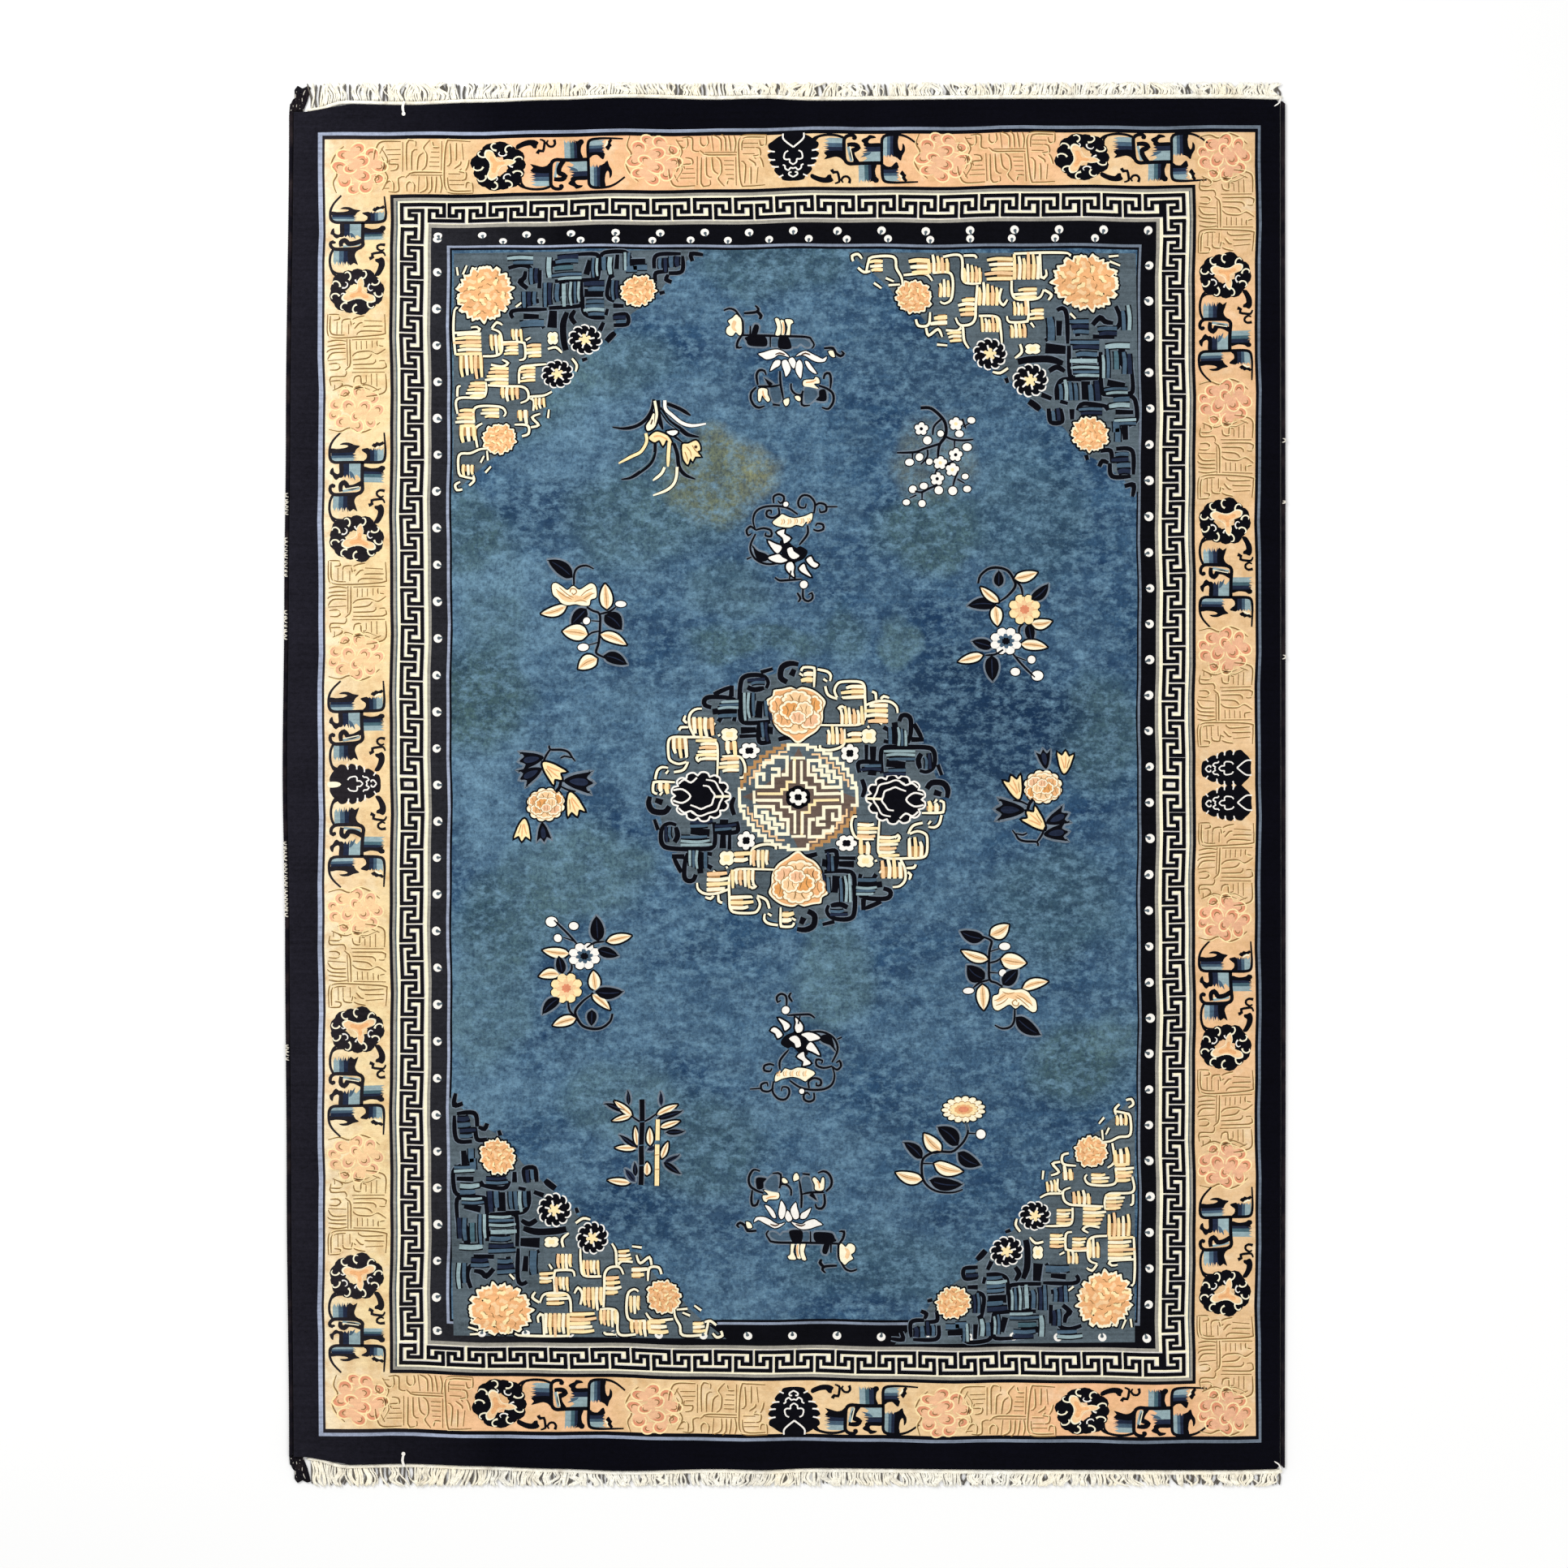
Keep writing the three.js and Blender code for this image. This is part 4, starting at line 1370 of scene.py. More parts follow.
def lotus():
    for line, width in LOTUS_STEMS:
        vine(line, width)
    for shape in LOTUS_DARK:
        filled("ink", shape)
    for shape in LOTUS_MIST:
        filled("slate", shape)
    for k, shape in enumerate(LOTUS_PALE):
        filled("bone" if 4 <= k <= 10 else "cream", shape, 2.4)
    patch("peach", [(14, 24), (18, 27), (16, 33), (19, 38), (14, 37), (11, 32)], 4)
    for line in ([(75, 28), (76.6, 36), (75.6, 43)], [(102, 102), (110, 101), (115, 99)], [(49, 112),
                                                                                           (49.6, 118),
                                                                                           (52, 121)]):
        stroke("apricot", line, 1.8, 4, (0.7, 0.6))
    for line in ([(66, 68), (71, 66), (78, 68)], [(98, 68), (103, 66), (109, 68)]):
        stroke("umber", line, 2.0, 4, (0.5, 0.6))


print("lotus stems:", len(LOTUS_STEMS), "pale shapes:", len(LOTUS_PALE))

# %% [markdown]
# The four corners of the middle field hold the four seasons' plants: orchid blades with a
# yellow flower, plum blossom on dark twigs, bamboo, and a chrysanthemum on a bent stem.

# %% Orchid
ORCHID_DARK = [
    ([(60, 13), (57, 26.5), (49, 38.8), (36.7, 46.6), (22.4, 49), (8.7, 47)], 4.2),
    ([(76, 18), (92, 24), (105, 31.6)], 4.4),
    ([(67, 23.5), (77.5, 38.8), (92, 48), (102, 55), (116, 57.7)], 5.4),
    ([(65, 14), (65.6, 34), (71, 50)], 5.6),
    ([(62, 66), (62, 79.6), (57, 92), (44, 103), (32.7, 110), (21.4, 112)], 4.2),
    ([(85, 66), (90, 79.6), (92, 94), (99, 104), (112, 109.7)], 4.6), ([(86, 58), (96, 65)], 4.2),
]
ORCHID_PALE = [
    ("cream", [(61, 15), (62.8, 26.5), (63, 33.7), (61, 44)], 3.2),
    ("bone", [(73.5, 14), (74, 24.5), (81.6, 31.6), (94, 40.8), (107, 43.9), (124, 41.3)], 4.0),
    ("straw", [(50, 55), (51.5, 65.3), (45, 77.6), (33.7, 83.7), (18, 92)], 3.6),
    ("straw", [(79.6, 65), (79, 79.6), (78.6, 95)], 4.2),
    ("cream", [(74.5, 96), (70.4, 104), (60, 112.8)], 3.4),
    ("cream", [(89.8, 95), (88.8, 107), (84.7, 117), (75.5, 124.5), (60, 131)], 3.4),
]


def orchid():
    for line, width in ORCHID_DARK:
        vine(line, width, (0.9, 0.35))
    stroke("slate", [(68, 26), (78, 40), (92, 50)], 1.2, 4)
    stroke("sage", [(61, 78), (56, 90), (44, 101)], 1.2, 4)
    for dye, line, width in ORCHID_PALE:
        stroke("ink", line, width + 2.2, 3, (0.9, 0.4))
        stroke(dye, line, width, 4, (1, 0.5))
    filled("cream", [(59, 30), (55, 38), (50, 46), (52, 52), (58, 50), (62, 45), (64, 36)])
    stroke("umber", [(58, 38), (56, 44)], 1.8, 5)
    filled("straw", [(54, 60), (62, 53), (70, 54), (78, 58), (83, 66), (79.6, 67), (76, 62), (72, 70),
                     (67, 63), (62, 66), (57, 64)])
    stroke("apricot", [(60, 59), (68, 58), (77, 62)], 2.0, 5)
    filled("bone", [(76, 52), (87, 50), (89.6, 53), (84, 57), (78, 55)])
    filled("straw", [(96, 67), (103, 66), (112, 62), (117, 67), (118, 74), (114, 76), (119, 82),
                     (112, 82), (109, 88), (106, 84), (103, 92), (98, 86), (96, 78)])
    for line in ([(101, 70), (106, 76), (107, 82)], [(108, 68), (111, 73), (116, 78)], [(99, 76),
                                                                                        (102, 83),
                                                                                        (103, 88)]):
        stroke("tan", line, 1.3, 5, (0.8, 0.5))
    disc("umber", 112.5, 70, 2.2, 5, 8)


print("orchid blades:", len(ORCHID_DARK) + len(ORCHID_PALE))

# %% Plum
PLUM_TWIGS = [
    ([(44, 12.4), (57, 13.4), (70.8, 25.8), (74.8, 36.4), (73.7, 47.8), (67, 57.4), (65, 67), (65, 75)],
     3.8),
    ([(67, 57), (47.8, 63), (36.4, 67), (14.4, 67.5)], 3.0), ([(70, 26), (60.3, 35.4), (58.4, 46)], 2.6),
    ([(73.7, 48), (83, 51.7), (95.7, 52.6), (108, 51.2)], 2.6), ([(85, 52), (85, 64)], 2.2),
    ([(51.7, 64), (51.7, 73), (44, 82.3)], 2.4), ([(33.5, 68), (33.5, 78)], 2.2),
    ([(84, 78.5), (75.6, 82.3), (64, 89), (63, 95)], 2.6), ([(90, 92), (87, 99.5), (85, 108)], 2.4),
    ([(90, 100), (99, 105)], 2.2), ([(65, 108), (55.5, 112), (46, 116.7), (38, 115)], 2.6),
    ([(47, 117), (47, 127)], 2.2), ([(40, 120), (31.6, 124)], 2.0), ([(95, 26), (99, 38)], 2.4),
    ([(96, 36), (104, 31)], 2.0),
]
PLUM_BLOSSOMS = [(44.5, 38.3, "ink"), (87, 32.5, "straw"), (86.6, 70.3, "ink"), (68, 80.4, "straw"),
                 (83.3, 88.5, "straw"), (65, 100, "ink")]
PLUM_BUDS = [
    (106, 27.8, 5), (68, 44.5, 4.2), (91, 44.5, 5.4), (51.7, 52.6, 5.4), (100.5, 60.8, 6), (42, 73.2, 5),
    (30, 79.4, 5.6), (54.5, 79, 4.2), (99.5, 96.7, 4.4), (84.7, 114.4, 5.6), (102.4, 112, 5),
    (67.5, 114, 5.4), (48.8, 109, 5.2), (35.4, 113, 5), (27.8, 129, 4.6), (47, 130.6, 4.6),
]


def plum():
    for line, width in PLUM_TWIGS:
        vine(line, width, (1, 0.7))
    for a, b, core in PLUM_BLOSSOMS:
        with drawn_at(a, b):
            filled("bone", scalloped(8.6, 8.2, 5, 0.26, 0.4), 2.4)
            disc(core, 0, 0, 2.3, 5, 8)
    for k, (a, b, radius) in enumerate(PLUM_BUDS):
        bud(a, b, radius, radius * (0.82 + 0.16 * (k % 2)))


print("plum twigs:", len(PLUM_TWIGS), "buds:", len(PLUM_BUDS))

# %% Bamboo
BAMBOO_LEAVES = [
    # dye, base, tip, width
    ("ink", (35, 26), (35, 9), 5), ("ink", (34, 34), (6, 25), 8), ("navy", (75, 27), (75, 10), 5),
    ("ink", (70, 43), (101, 34), 8), ("ink", (81, 60), (104, 59), 7), ("ink", (46, 79), (24, 63), 7),
    ("ink", (78, 97), (98, 111), 8), ("navy", (79, 97), (98, 88), 5), ("ink", (43, 114), (43, 97), 6),
    ("navy", (42, 121), (31, 105), 8), ("navy", (68, 78), (58, 82), 6), ("cream", (39, 39), (18, 22), 8),
    ("cream", (38, 39), (15, 46), 6), ("cream", (70, 38), (95, 26), 8), ("cream", (74, 54), (98, 46), 7),
    ("cream", (46, 76), (43, 53), 6), ("cream", (62, 76), (61, 54), 8), ("cream", (45, 79), (19, 79), 7),
    ("cream", (76, 92), (84, 72), 7), ("cream", (57, 113), (58, 97), 9),
    ("cream", (36, 122), (9, 119), 8),
]


def bamboo():
    vine([(51, 48), (43, 43), (38, 39)], 2.4)
    vine([(53, 47), (61, 43), (69, 37)], 2.4)
    for dye, base, tip, wide in BAMBOO_LEAVES:
        leaf(dye, base, tip, wide)
    for dye, line, width in (("ink", [(51.6, 19), (51.6, 48), (51, 76), (51, 100), (49.2, 125)], 6.2),
                             ("straw", [(71, 44), (71, 70)], 5), ("straw", [(70.8, 75), (70, 100),
                                                                            (68.6, 126)], 5.4)):
        # round the dark stem the rim is a painted highlight of the clipped pile
        stroke("haze" if dye == "ink" else "ink", line, width + 2.2, 3, (1, 1))
        stroke(dye, line, width, 4, (1, 1))
    for b in (47, 76, 101):
        stroke("slate", [(48.4, b), (54.6, b - 0.6)], 1.2, 5)
    for b in (88, 106):
        stroke("tan", [(67.4, b), (72.8, b - 0.4)], 1.2, 5)


print("bamboo leaves:", len(BAMBOO_LEAVES))

# %% Chrysanthemum
FRILL_TURN = 0.4189          # a fifteenth of a full turn, in radians


def chrysanthemum():
    vine([(94.8, 41), (97.6, 53.5), (93, 64.7), (85.5, 73), (77, 78.6), (59.5, 77.7), (48, 81.4),
          (41, 88.8), (41, 107), (46.5, 118.6), (59.5, 127), (78, 128.8), (91, 125)], 3.0)
    stroke("slate", [(95.4, 43), (98, 52)], 1.4, 4)
    vine([(97, 56), (108, 56.6)], 2.4)
    vine([(41, 92), (55, 92.6)], 2.4)
    leaf("ink", (85.5, 71), (60.4, 47), 19, 3)
    leaf("cream", (64, 77), (43.7, 55.4), 16, -2)
    leaf("ink", (41, 86), (18.6, 66), 14, 2)
    leaf("ink", (84.6, 79.5), (113.4, 95.4), 17, 3)
    leaf("cream", (55.8, 92.6), (91, 103), 15, 3)
    leaf("cream", (41, 112), (8.4, 103.7), 14, -2)
    leaf("ink", (50, 113), (91, 119), 16, 3)
    bud(113.4, 57.2, 6)
    with drawn_at(93, 26.6):
        filled("cream", scalloped(27, 16.5, 15, 0.16), 2.6)
        patch("tan", scalloped(19, 10.8, 13, 0.16), 4)
        patch("straw", scalloped(17.6, 9.6, 13, 0.14), 5)
        patch("apricot", scalloped(12, 6.4, 10, 0.12), 6)
        patch("salmon", scalloped(7, 4, 8, 0.1), 7)
        for k in range(15):
            c, s = math.cos(k * FRILL_TURN), math.sin(k * FRILL_TURN)
            stroke("tan", [(24 * c, 14.4 * s), (19.6 * c, 11.6 * s)], 0.9, 4)


print("drawn as a function:", chrysanthemum.__name__)

# %% Sprays set on the field
pen["zone"] = "ground"
for end in BOTH_ENDS:
    with drawn_at(0, **end):
        stroke("bone", [(499, 119), (497, 126), (498, 133)], 3.0, 3, (1, 0.7))
        disc("bone", 498, 134, 2.4, 4)
        stroke("bone", [(1578, 122), (1576, 128), (1570, 132)], 1.6, 3, (1, 0.4))
pen["zone"] = "field"
SPRAYS = [
    # motif, column, row, turn
    (camellia_spray, 660, 685, 0), (camellia_spray, 1296.7, 1280.3, 180),
    (rose_spray, 1180, 690, 0), (rose_spray, 779, 1278.8, 180),
    (lily_spray, 625, 910, 0), (lily_spray, 1331, 1052.2, 180),
    (scroll, 920, 600, 0), (scroll, 1037, 1366.5, 180),
    (lotus, 890, 370, 0), (lotus, 1058, 1576, 180),
    (orchid, 745, 480, 0), (plum, 1090, 490, 0), (bamboo, 740, 1335, 0), (chrysanthemum, 1095, 1340, 0),
]
for motif, col, row, turn in SPRAYS:
    with drawn_at(col, row, turn):
        motif()
print("field points:", points_in("field"))

# %% [markdown]
# ## Medallion and corners
# The medallion's ring is one quarter set four times, each turned a further quarter. So are the
# corners. Both are drawn on a finer grid than the chart, about four steps to a square. They are
# made of hooked lines and of tufts: blocks of parallel bars with clipped grooves of painted shade
# between.

# %% Hooks and tufts
FINE = 0.2424                # chart squares in one fine step


def hook(dye, points, width, edge):
    """A bent line with its clipped rim: a painted highlight round a dark dye, and dark round a pale dye."""
    stroke("haze" if dye in DARK_DYES else "ink", points, width + edge, 2, (0.95, 0.85))
    stroke(dye, points, width, 3, (0.9, 0.7))


def tuft(dyes, left, top, right, bottom, bars, upright):
    """Bars of pile side by side with free tips. They lie across, or stand if the tuft is upright."""
    # the groove between the bars is a painted shade: ink under dark bars, tan under pale ones
    groove = "ink" if dyes[0] in DARK_DYES + ("mist", "sage") else "tan"
    left, top, right, bottom = left - 5, top - 5, right + 5, bottom + 5
    wide, high = right - left, bottom - top
    if upright:
        root = [(left, top + high * 0.4), (right, top + high * 0.4), (right, bottom - 6),
                (left, bottom - 6)]
    else:
        root = [(left + wide * 0.4, top), (right - 6, top), (right - 6, bottom),
                (left + wide * 0.4, bottom)]
    patch(groove, root, 3, False)
    for k in range(bars):
        share = (k + 0.5) / bars
        spare = -0.07 + 0.08 * ((k * 5 + int(left)) % 4)
        sway = 5 * math.sin(k * 2.1 + left)
        if upright:
            a = left + wide * share
            line = [(a - 5, top + high * spare), (a + sway * 0.6, top + high * 0.45), (a, bottom)]
            thick = wide / bars * 0.7
        else:
            b = top + high * share
            line = [(left + wide * spare, b + 5), (left + wide * 0.45, b + sway * 0.6), (right, b)]
            thick = high / bars * 0.7
        stroke("ink", line, thick + 13, 2, (1, 1))
        stroke(dyes[k % len(dyes)], line, thick, 4, (0.75, 1))


print("a fine step is", round(FINE * STEP * 1000, 3), "mm")

# %% Blooms
def ruffled_bloom(outline, centre, wide, high):
    """A full flower of ruffled petals inside a given outline."""
    filled("cream", outline, 15)
    with drawn_at(*centre):
        patch("apricot", [((x - centre[0]) * 0.93, (y - centre[1]) * 0.93) for x, y in outline], 4)
        ruffles(wide, high, 5)


BLOOM_FOLDS = 30
FOLD_TURN = 2.4              # radians from each fold to the next, which spreads them evenly


def wavy_bloom(a, b, wide, high, petals):
    """A full flower with a ragged rim, and short folded petals that lie every way inside it. Two folds in
    three carry a line of painted shade.
    """
    with drawn_at(a, b):
        rim = []
        for k, (x, y) in enumerate(scalloped(wide, high, petals + 4, 0.1, 0.3)):
            swell = 1 + 0.05 * math.sin(k * 0.13 + 1) + 0.045 * math.sin(k * 0.83) + 0.03 * math.sin(k * 1.9)
            rim.append((x * swell, y * swell))
        filled("cream", rim, 15)
        patch("apricot", [(0.9 * x, 0.9 * y) for x, y in rim], 4)
        for k in range(BLOOM_FOLDS):
            reach = 0.8 * ((k + 0.5) / BLOOM_FOLDS) ** 0.5
            angle = FOLD_TURN * k
            x, y = wide * reach * math.cos(angle), high * reach * math.sin(angle)
            with drawn_at(x, y, 60 + 75 * math.sin(1.9 * k), wide / 166):
                stroke(("peach", "straw", "apricot")[k % 3], [(-22, 0), (-8, -8), (8, 5), (22, -3)], 19,
                       5, (0.7, 0.5))
                if k % 3:
                    stroke("carve", [(-15, 11), (-5, 6), (7, 13), (16, 8)], 4, 6, (0.3, 0.3))


def dark_bloom():
    """The ink peony at either side of the medallion: pale scalloped outlines on near-black."""
    with drawn_at(1266, 696):
        patch("ink", scalloped(152, 126, 13, 0.14), 3)
        stroke("bone", scalloped(152, 126, 13, 0.14), 9, 4, closed=True)
        for wide, first, last in ((104, 105, 300), (66, 100, 330)):
            arc = [(wide * (1 + 0.10 * (k % 2)) * math.cos(math.radians(t)),
                    wide * 0.86 * (1 + 0.10 * (k % 2)) * math.sin(math.radians(t)))
                   for k, t in enumerate(np.arange(first, last, 24))]
            stroke("bone", arc, 9, 4, (0.8, 0.8))
        stroke("bone", [(140, -24), (92, -34), (52, 0), (92, 34), (140, 28)], 9, 4)
        stroke("cream", [(-148, 0), (-74, 0)], 12, 4)
        stroke("bone", [(20, 96), (50, 70), (84, 84), (112, 62)], 9, 4)
        stroke("bone", [(20, -96), (50, -74), (84, -84), (112, -62)], 9, 4)


def open_blossom(a, b, wide, dye="bone", core="ink", petals=6, high=None):
    high = high or wide
    with drawn_at(a, b):
        filled(dye, scalloped(wide, high, petals, 0.24), 9)
        patch(core, scalloped(wide * 0.46, high * 0.46, 4, 0.2), 4)


print("folds in a wavy bloom:", BLOOM_FOLDS)

# %% [markdown]
# One quarter of the ring runs from the top peony, through a cream half and a blue half, to the
# dark peony on the right. The disc in the middle is a stepped fret.

# %% Medallion tables
RING_GROUND = [
    (772, 30), (860, 26), (950, 50), (1010, 92), (1120, 100), (1190, 150), (1290, 205), (1350, 262),
    (1400, 330), (1420, 400), (1480, 440), (1500, 560), (1530, 640), (1530, 690), (1060, 690), (772, 420),
]
RING_CREAM = [
    [(790, 50), (800, 32), (846, 32), (858, 46), (858, 130)],
    [(872, 40), (922, 50), (942, 72), (938, 98)], [(915, 125), (930, 168), (976, 190)],
    [(976, 182), (962, 148), (976, 114), (1004, 102), (1084, 103), (1112, 122), (1116, 180), (1116, 276),
     (1094, 314), (1050, 324), (890, 322)],
    [(1120, 222), (1180, 202), (1240, 202), (1274, 226), (1280, 258)],
    [(1152, 154), (1170, 162), (1172, 196)], [(1196, 190), (1212, 176), (1238, 184)],
    [(1000, 250), (984, 236), (1000, 228), (1016, 240)],
    [(886, 424), (888, 442), (930, 450), (980, 440), (1008, 416), (1010, 344)],
    [(1180, 300), (1200, 318)], [(1064, 366), (1070, 362)], [(782, 62), (802, 74)],
    [(905, 88), (924, 100)], [(1128, 328), (1134, 338)], [(1010, 186), (1000, 178)],
]
RING_CREAM_TUFTS = [
    (800, 54, 846, 104, 2, False), (1008, 122, 1108, 186, 3, False), (992, 238, 1108, 316, 6, True),
    (1124, 214, 1226, 308, 4, False), (924, 336, 1002, 416, 4, True), (1016, 362, 1092, 408, 2, False),
]
RING_INK = [
    ([(1288, 300), (1300, 272), (1326, 268), (1346, 290), (1346, 362), (1334, 408)], 16),
    ([(1362, 310), (1386, 350), (1404, 384)], 9), ([(1350, 390), (1414, 390)], 20),
    ([(1200, 566), (1196, 474), (1210, 438), (1260, 430), (1420, 430), (1464, 450), (1470, 504),
      (1456, 540), (1424, 556), (1392, 548)], 16),
    ([(1224, 512), (1320, 520)], 30), ([(1402, 462), (1386, 494), (1394, 538)], 18),
    ([(1484, 520), (1502, 574)], 14),
    ([(1086, 566), (1080, 522), (1104, 510), (1180, 514), (1192, 540)], 12),
    ([(1130, 560), (1172, 566)], 26), ([(1122, 424), (1122, 504)], 10), ([(1156, 432), (1156, 500)], 26),
    ([(1208, 332), (1240, 350)], 18), ([(1210, 402), (1250, 410)], 16),
    ([(1424, 642), (1450, 612), (1508, 616), (1530, 652), (1524, 690)], 20),
    ([(1460, 660), (1496, 672)], 24), ([(1098, 600), (1110, 650), (1094, 690)], 16),
]
RING_BLUE_TUFTS = [
    (("slate", "ink"), 1236, 318, 1276, 412, 2, True), (("mist", "slate"), 1282, 334, 1328, 418, 3, True),
    (("mist", "mist", "slate"), 1214, 444, 1366, 494, 3, False),
    (("slate", "navy"), 1220, 540, 1316, 574, 2, False),
    (("slate", "navy"), 1420, 470, 1450, 536, 2, True),
    (("slate", "navy"), 1100, 522, 1192, 552, 2, False),
]
TOP_BLOOM = [
    (614, 200), (648, 174), (652, 146), (694, 140), (742, 130), (768, 142), (796, 130), (850, 142),
    (890, 168), (918, 204), (904, 246), (900, 300), (872, 350), (822, 384), (772, 416), (730, 386),
    (682, 358), (650, 312), (642, 258),
]
DISC_STAIRS = [
    (12, -69), (22, -69), (22, -65), (32, -65), (32, -60), (41, -60), (41, -53), (49, -53), (49, -46),
    (56, -46), (56, -38), (62, -38), (62, -29), (67, -29), (67, -19), (71, -19), (71, -11),
]
DISC_ARM = [(4.6, -50), (4.6, -20), (10.6, -20), (10.6, -13.4), (21, -13.4), (21, -4), (54, -4)]
DISC_LOOP = [
    (12, -46), (25, -46), (25, -39), (33, -39), (33, -32), (41, -32), (41, -24), (48, -24), (48, -12),
    (28, -12), (28, -20), (20, -20), (20, -28), (12, -28),
]
DISC_LOOP_HEART = [(18, -40), (18, -34), (27, -34), (27, -27), (35, -27), (35, -19), (42, -19)]
DISC_KEY = [(20, -38), (29, -38), (29, -46), (13, -46), (13, -28), (27, -28), (27, -21), (35, -21),
            (35, -30)]
DISC_KEY_END = [(36, -38), (43, -38), (43, -28), (50, -28), (50, -12), (28, -12), (28, -18)]


print("hooks in a quarter of the ring:", len(RING_CREAM) + len(RING_INK))

# %% Medallion
GROUND_SHARE = 0.955         # the dark ground is drawn a little smaller than the hooks reach


def ring_quarter():
    patch("twilight", 772 + (np.array(RING_GROUND) - [772, 688]) * GROUND_SHARE + [0, -84], 1)
    for line in RING_CREAM:
        hook("cream", line, 13, 15)
    for left, top, right, bottom, bars, upright in RING_CREAM_TUFTS:
        tuft(("cream", "straw", "cream", "peach"), left, top, right, bottom, bars, upright)
    for line, width in RING_INK:
        hook("ink", line, max(width * 1.5, 23), 9)
    for dyes, left, top, right, bottom, bars, upright in RING_BLUE_TUFTS:
        tuft(dyes, left, top, right, bottom, bars, upright)
    open_blossom(1134, 380, 42, "cream", "straw", 4)
    open_blossom(1038, 468, 48)


DISC_RADIUS = 71


def middle_disc():
    around = np.arange(24) * math.pi / 12
    patch("bark", [(DISC_RADIUS * math.cos(t), DISC_RADIUS * math.sin(t)) for t in around], 1)
    for k in range(4):
        loops = (DISC_LOOP, DISC_LOOP_HEART) if k % 2 == 0 else (DISC_KEY, DISC_KEY_END)
        with drawn_at(0, 0, 90 * k):
            stroke("tan" if k % 2 else "cream", DISC_STAIRS, 3.8, 3, smooth=False)
            stroke("straw" if k % 2 else "cream", DISC_ARM, 3.4, 3, smooth=False)
            stroke("peach", [(x - 5, y + 6) for x, y in DISC_STAIRS[2:-2]], 2.4, 2, smooth=False)
            with drawn_at(0, 0, 0, 1.1):
                for line in loops:
                    stroke("cream", line, 3.9, 3, smooth=False, closed=line is DISC_LOOP)
            stroke("cream", [(-4.6, -50), (-4.6, -20)], 3.4, 3, smooth=False)
            stroke("cream", [(-12, -64), (-12, -72), (12, -72), (12, -64)], 4, 3, smooth=False)
            stroke("cream", [(-9, -54), (9, -54)], 3.4, 3, smooth=False)
    open_blossom(0, 0, 11.6)


pen["zone"] = "medallion"
RING_SQUASH = 0.892          # the ring is less high than wide on this rug
RING_COL, RING_ROW = 983, 982.4
with drawn_at(RING_COL, RING_ROW, 0, (1, RING_SQUASH)):
    for k in range(4):
        with drawn_at(0, 0, 90 * k, FINE):
            with drawn_at(-772, -688 / RING_SQUASH, 0, (1, 1 / RING_SQUASH)):
                ring_quarter()
    middle_disc()
    for k in (0, 2):
        with drawn_at(0, 0, 90 * k, FINE):
            with drawn_at(-772, -688 / RING_SQUASH, 0, (1, 1 / RING_SQUASH)):
                ruffled_bloom(TOP_BLOOM, (768, 258), 138, 122)
                dark_bloom()
print("medallion points:", points_in("medallion"))

# %% [markdown]
# The corner is drawn for the top right: cream and gold along the top, blue down the side, and
# two dark chrysanthemums with pale hooked petals where they meet.

# %% Corner tables
CORNER_GROUND = [
    (20, 52), (1478, 52), (1480, 1296), (1440, 1270), (1380, 1215), (1300, 1150), (1220, 1110),
    (1160, 1060), (1090, 970), (1020, 915), (960, 850), (880, 790), (800, 700), (700, 640), (620, 560),
    (560, 530), (460, 515), (410, 440), (350, 370), (260, 330), (210, 260), (130, 190),
]
CORNER_CREAM = [
    [(46, 98), (40, 72), (70, 62), (90, 86)], [(70, 132), (100, 155), (132, 150)],
    [(112, 152), (124, 100), (142, 78), (250, 76), (264, 132), (290, 180), (296, 230)],
    [(300, 166), (390, 155), (424, 164), (446, 192)],
    [(450, 152), (540, 160), (548, 280), (512, 310), (490, 298)],
    [(500, 70), (590, 70), (600, 188), (640, 212), (694, 210)], [(604, 68), (660, 70), (668, 84)],
    [(990, 58), (1000, 180), (1026, 172), (1022, 142)], [(858, 60), (1000, 55), (1130, 60), (1142, 76)],
    [(676, 220), (672, 330), (668, 392), (640, 420), (590, 420), (570, 384)],
    [(800, 236), (790, 290), (812, 320), (832, 292)],
    [(850, 196), (855, 260), (882, 290), (962, 292), (1000, 280), (1016, 244)],
    [(1020, 246), (1056, 272), (1040, 298)], [(936, 294), (938, 390), (918, 406), (842, 405), (830, 376)],
    [(688, 376), (780, 382), (796, 440), (800, 512)], [(368, 388), (382, 420), (432, 416), (440, 352)],
    [(420, 432), (432, 470), (480, 440), (500, 480)], [(472, 518), (524, 524)],
    [(520, 446), (580, 450), (604, 430), (610, 500), (632, 540)], [(1340, 72), (1390, 66)],
    [(1346, 96), (1400, 116)], [(1372, 146), (1384, 166)], [(1252, 66), (1290, 84)],
    [(150, 210), (188, 236)], [(210, 184), (250, 200)], [(224, 220), (282, 214)],
    [(830, 640), (790, 664), (752, 658)], [(892, 520), (900, 560), (866, 590)], [(950, 412), (966, 436)],
    [(1150, 366), (1176, 392)],
]
CORNER_TUFTS = [
    (130, 94, 190, 148, 3, False), (330, 82, 424, 158, 3, False), (424, 70, 528, 150, 5, True),
    (484, 196, 536, 272, 3, True), (604, 122, 694, 202, 5, True), (726, 82, 850, 192, 5, False),
    (858, 66, 990, 186, 6, True), (684, 218, 784, 318, 5, True), (592, 286, 660, 372, 4, False),
    (872, 236, 976, 288, 3, False), (866, 306, 932, 368, 4, True), (944, 344, 1012, 392, 3, False),
    (848, 414, 922, 482, 4, True), (702, 386, 784, 452, 5, True), (452, 370, 522, 416, 2, False),
    (530, 456, 592, 502, 3, False),
]
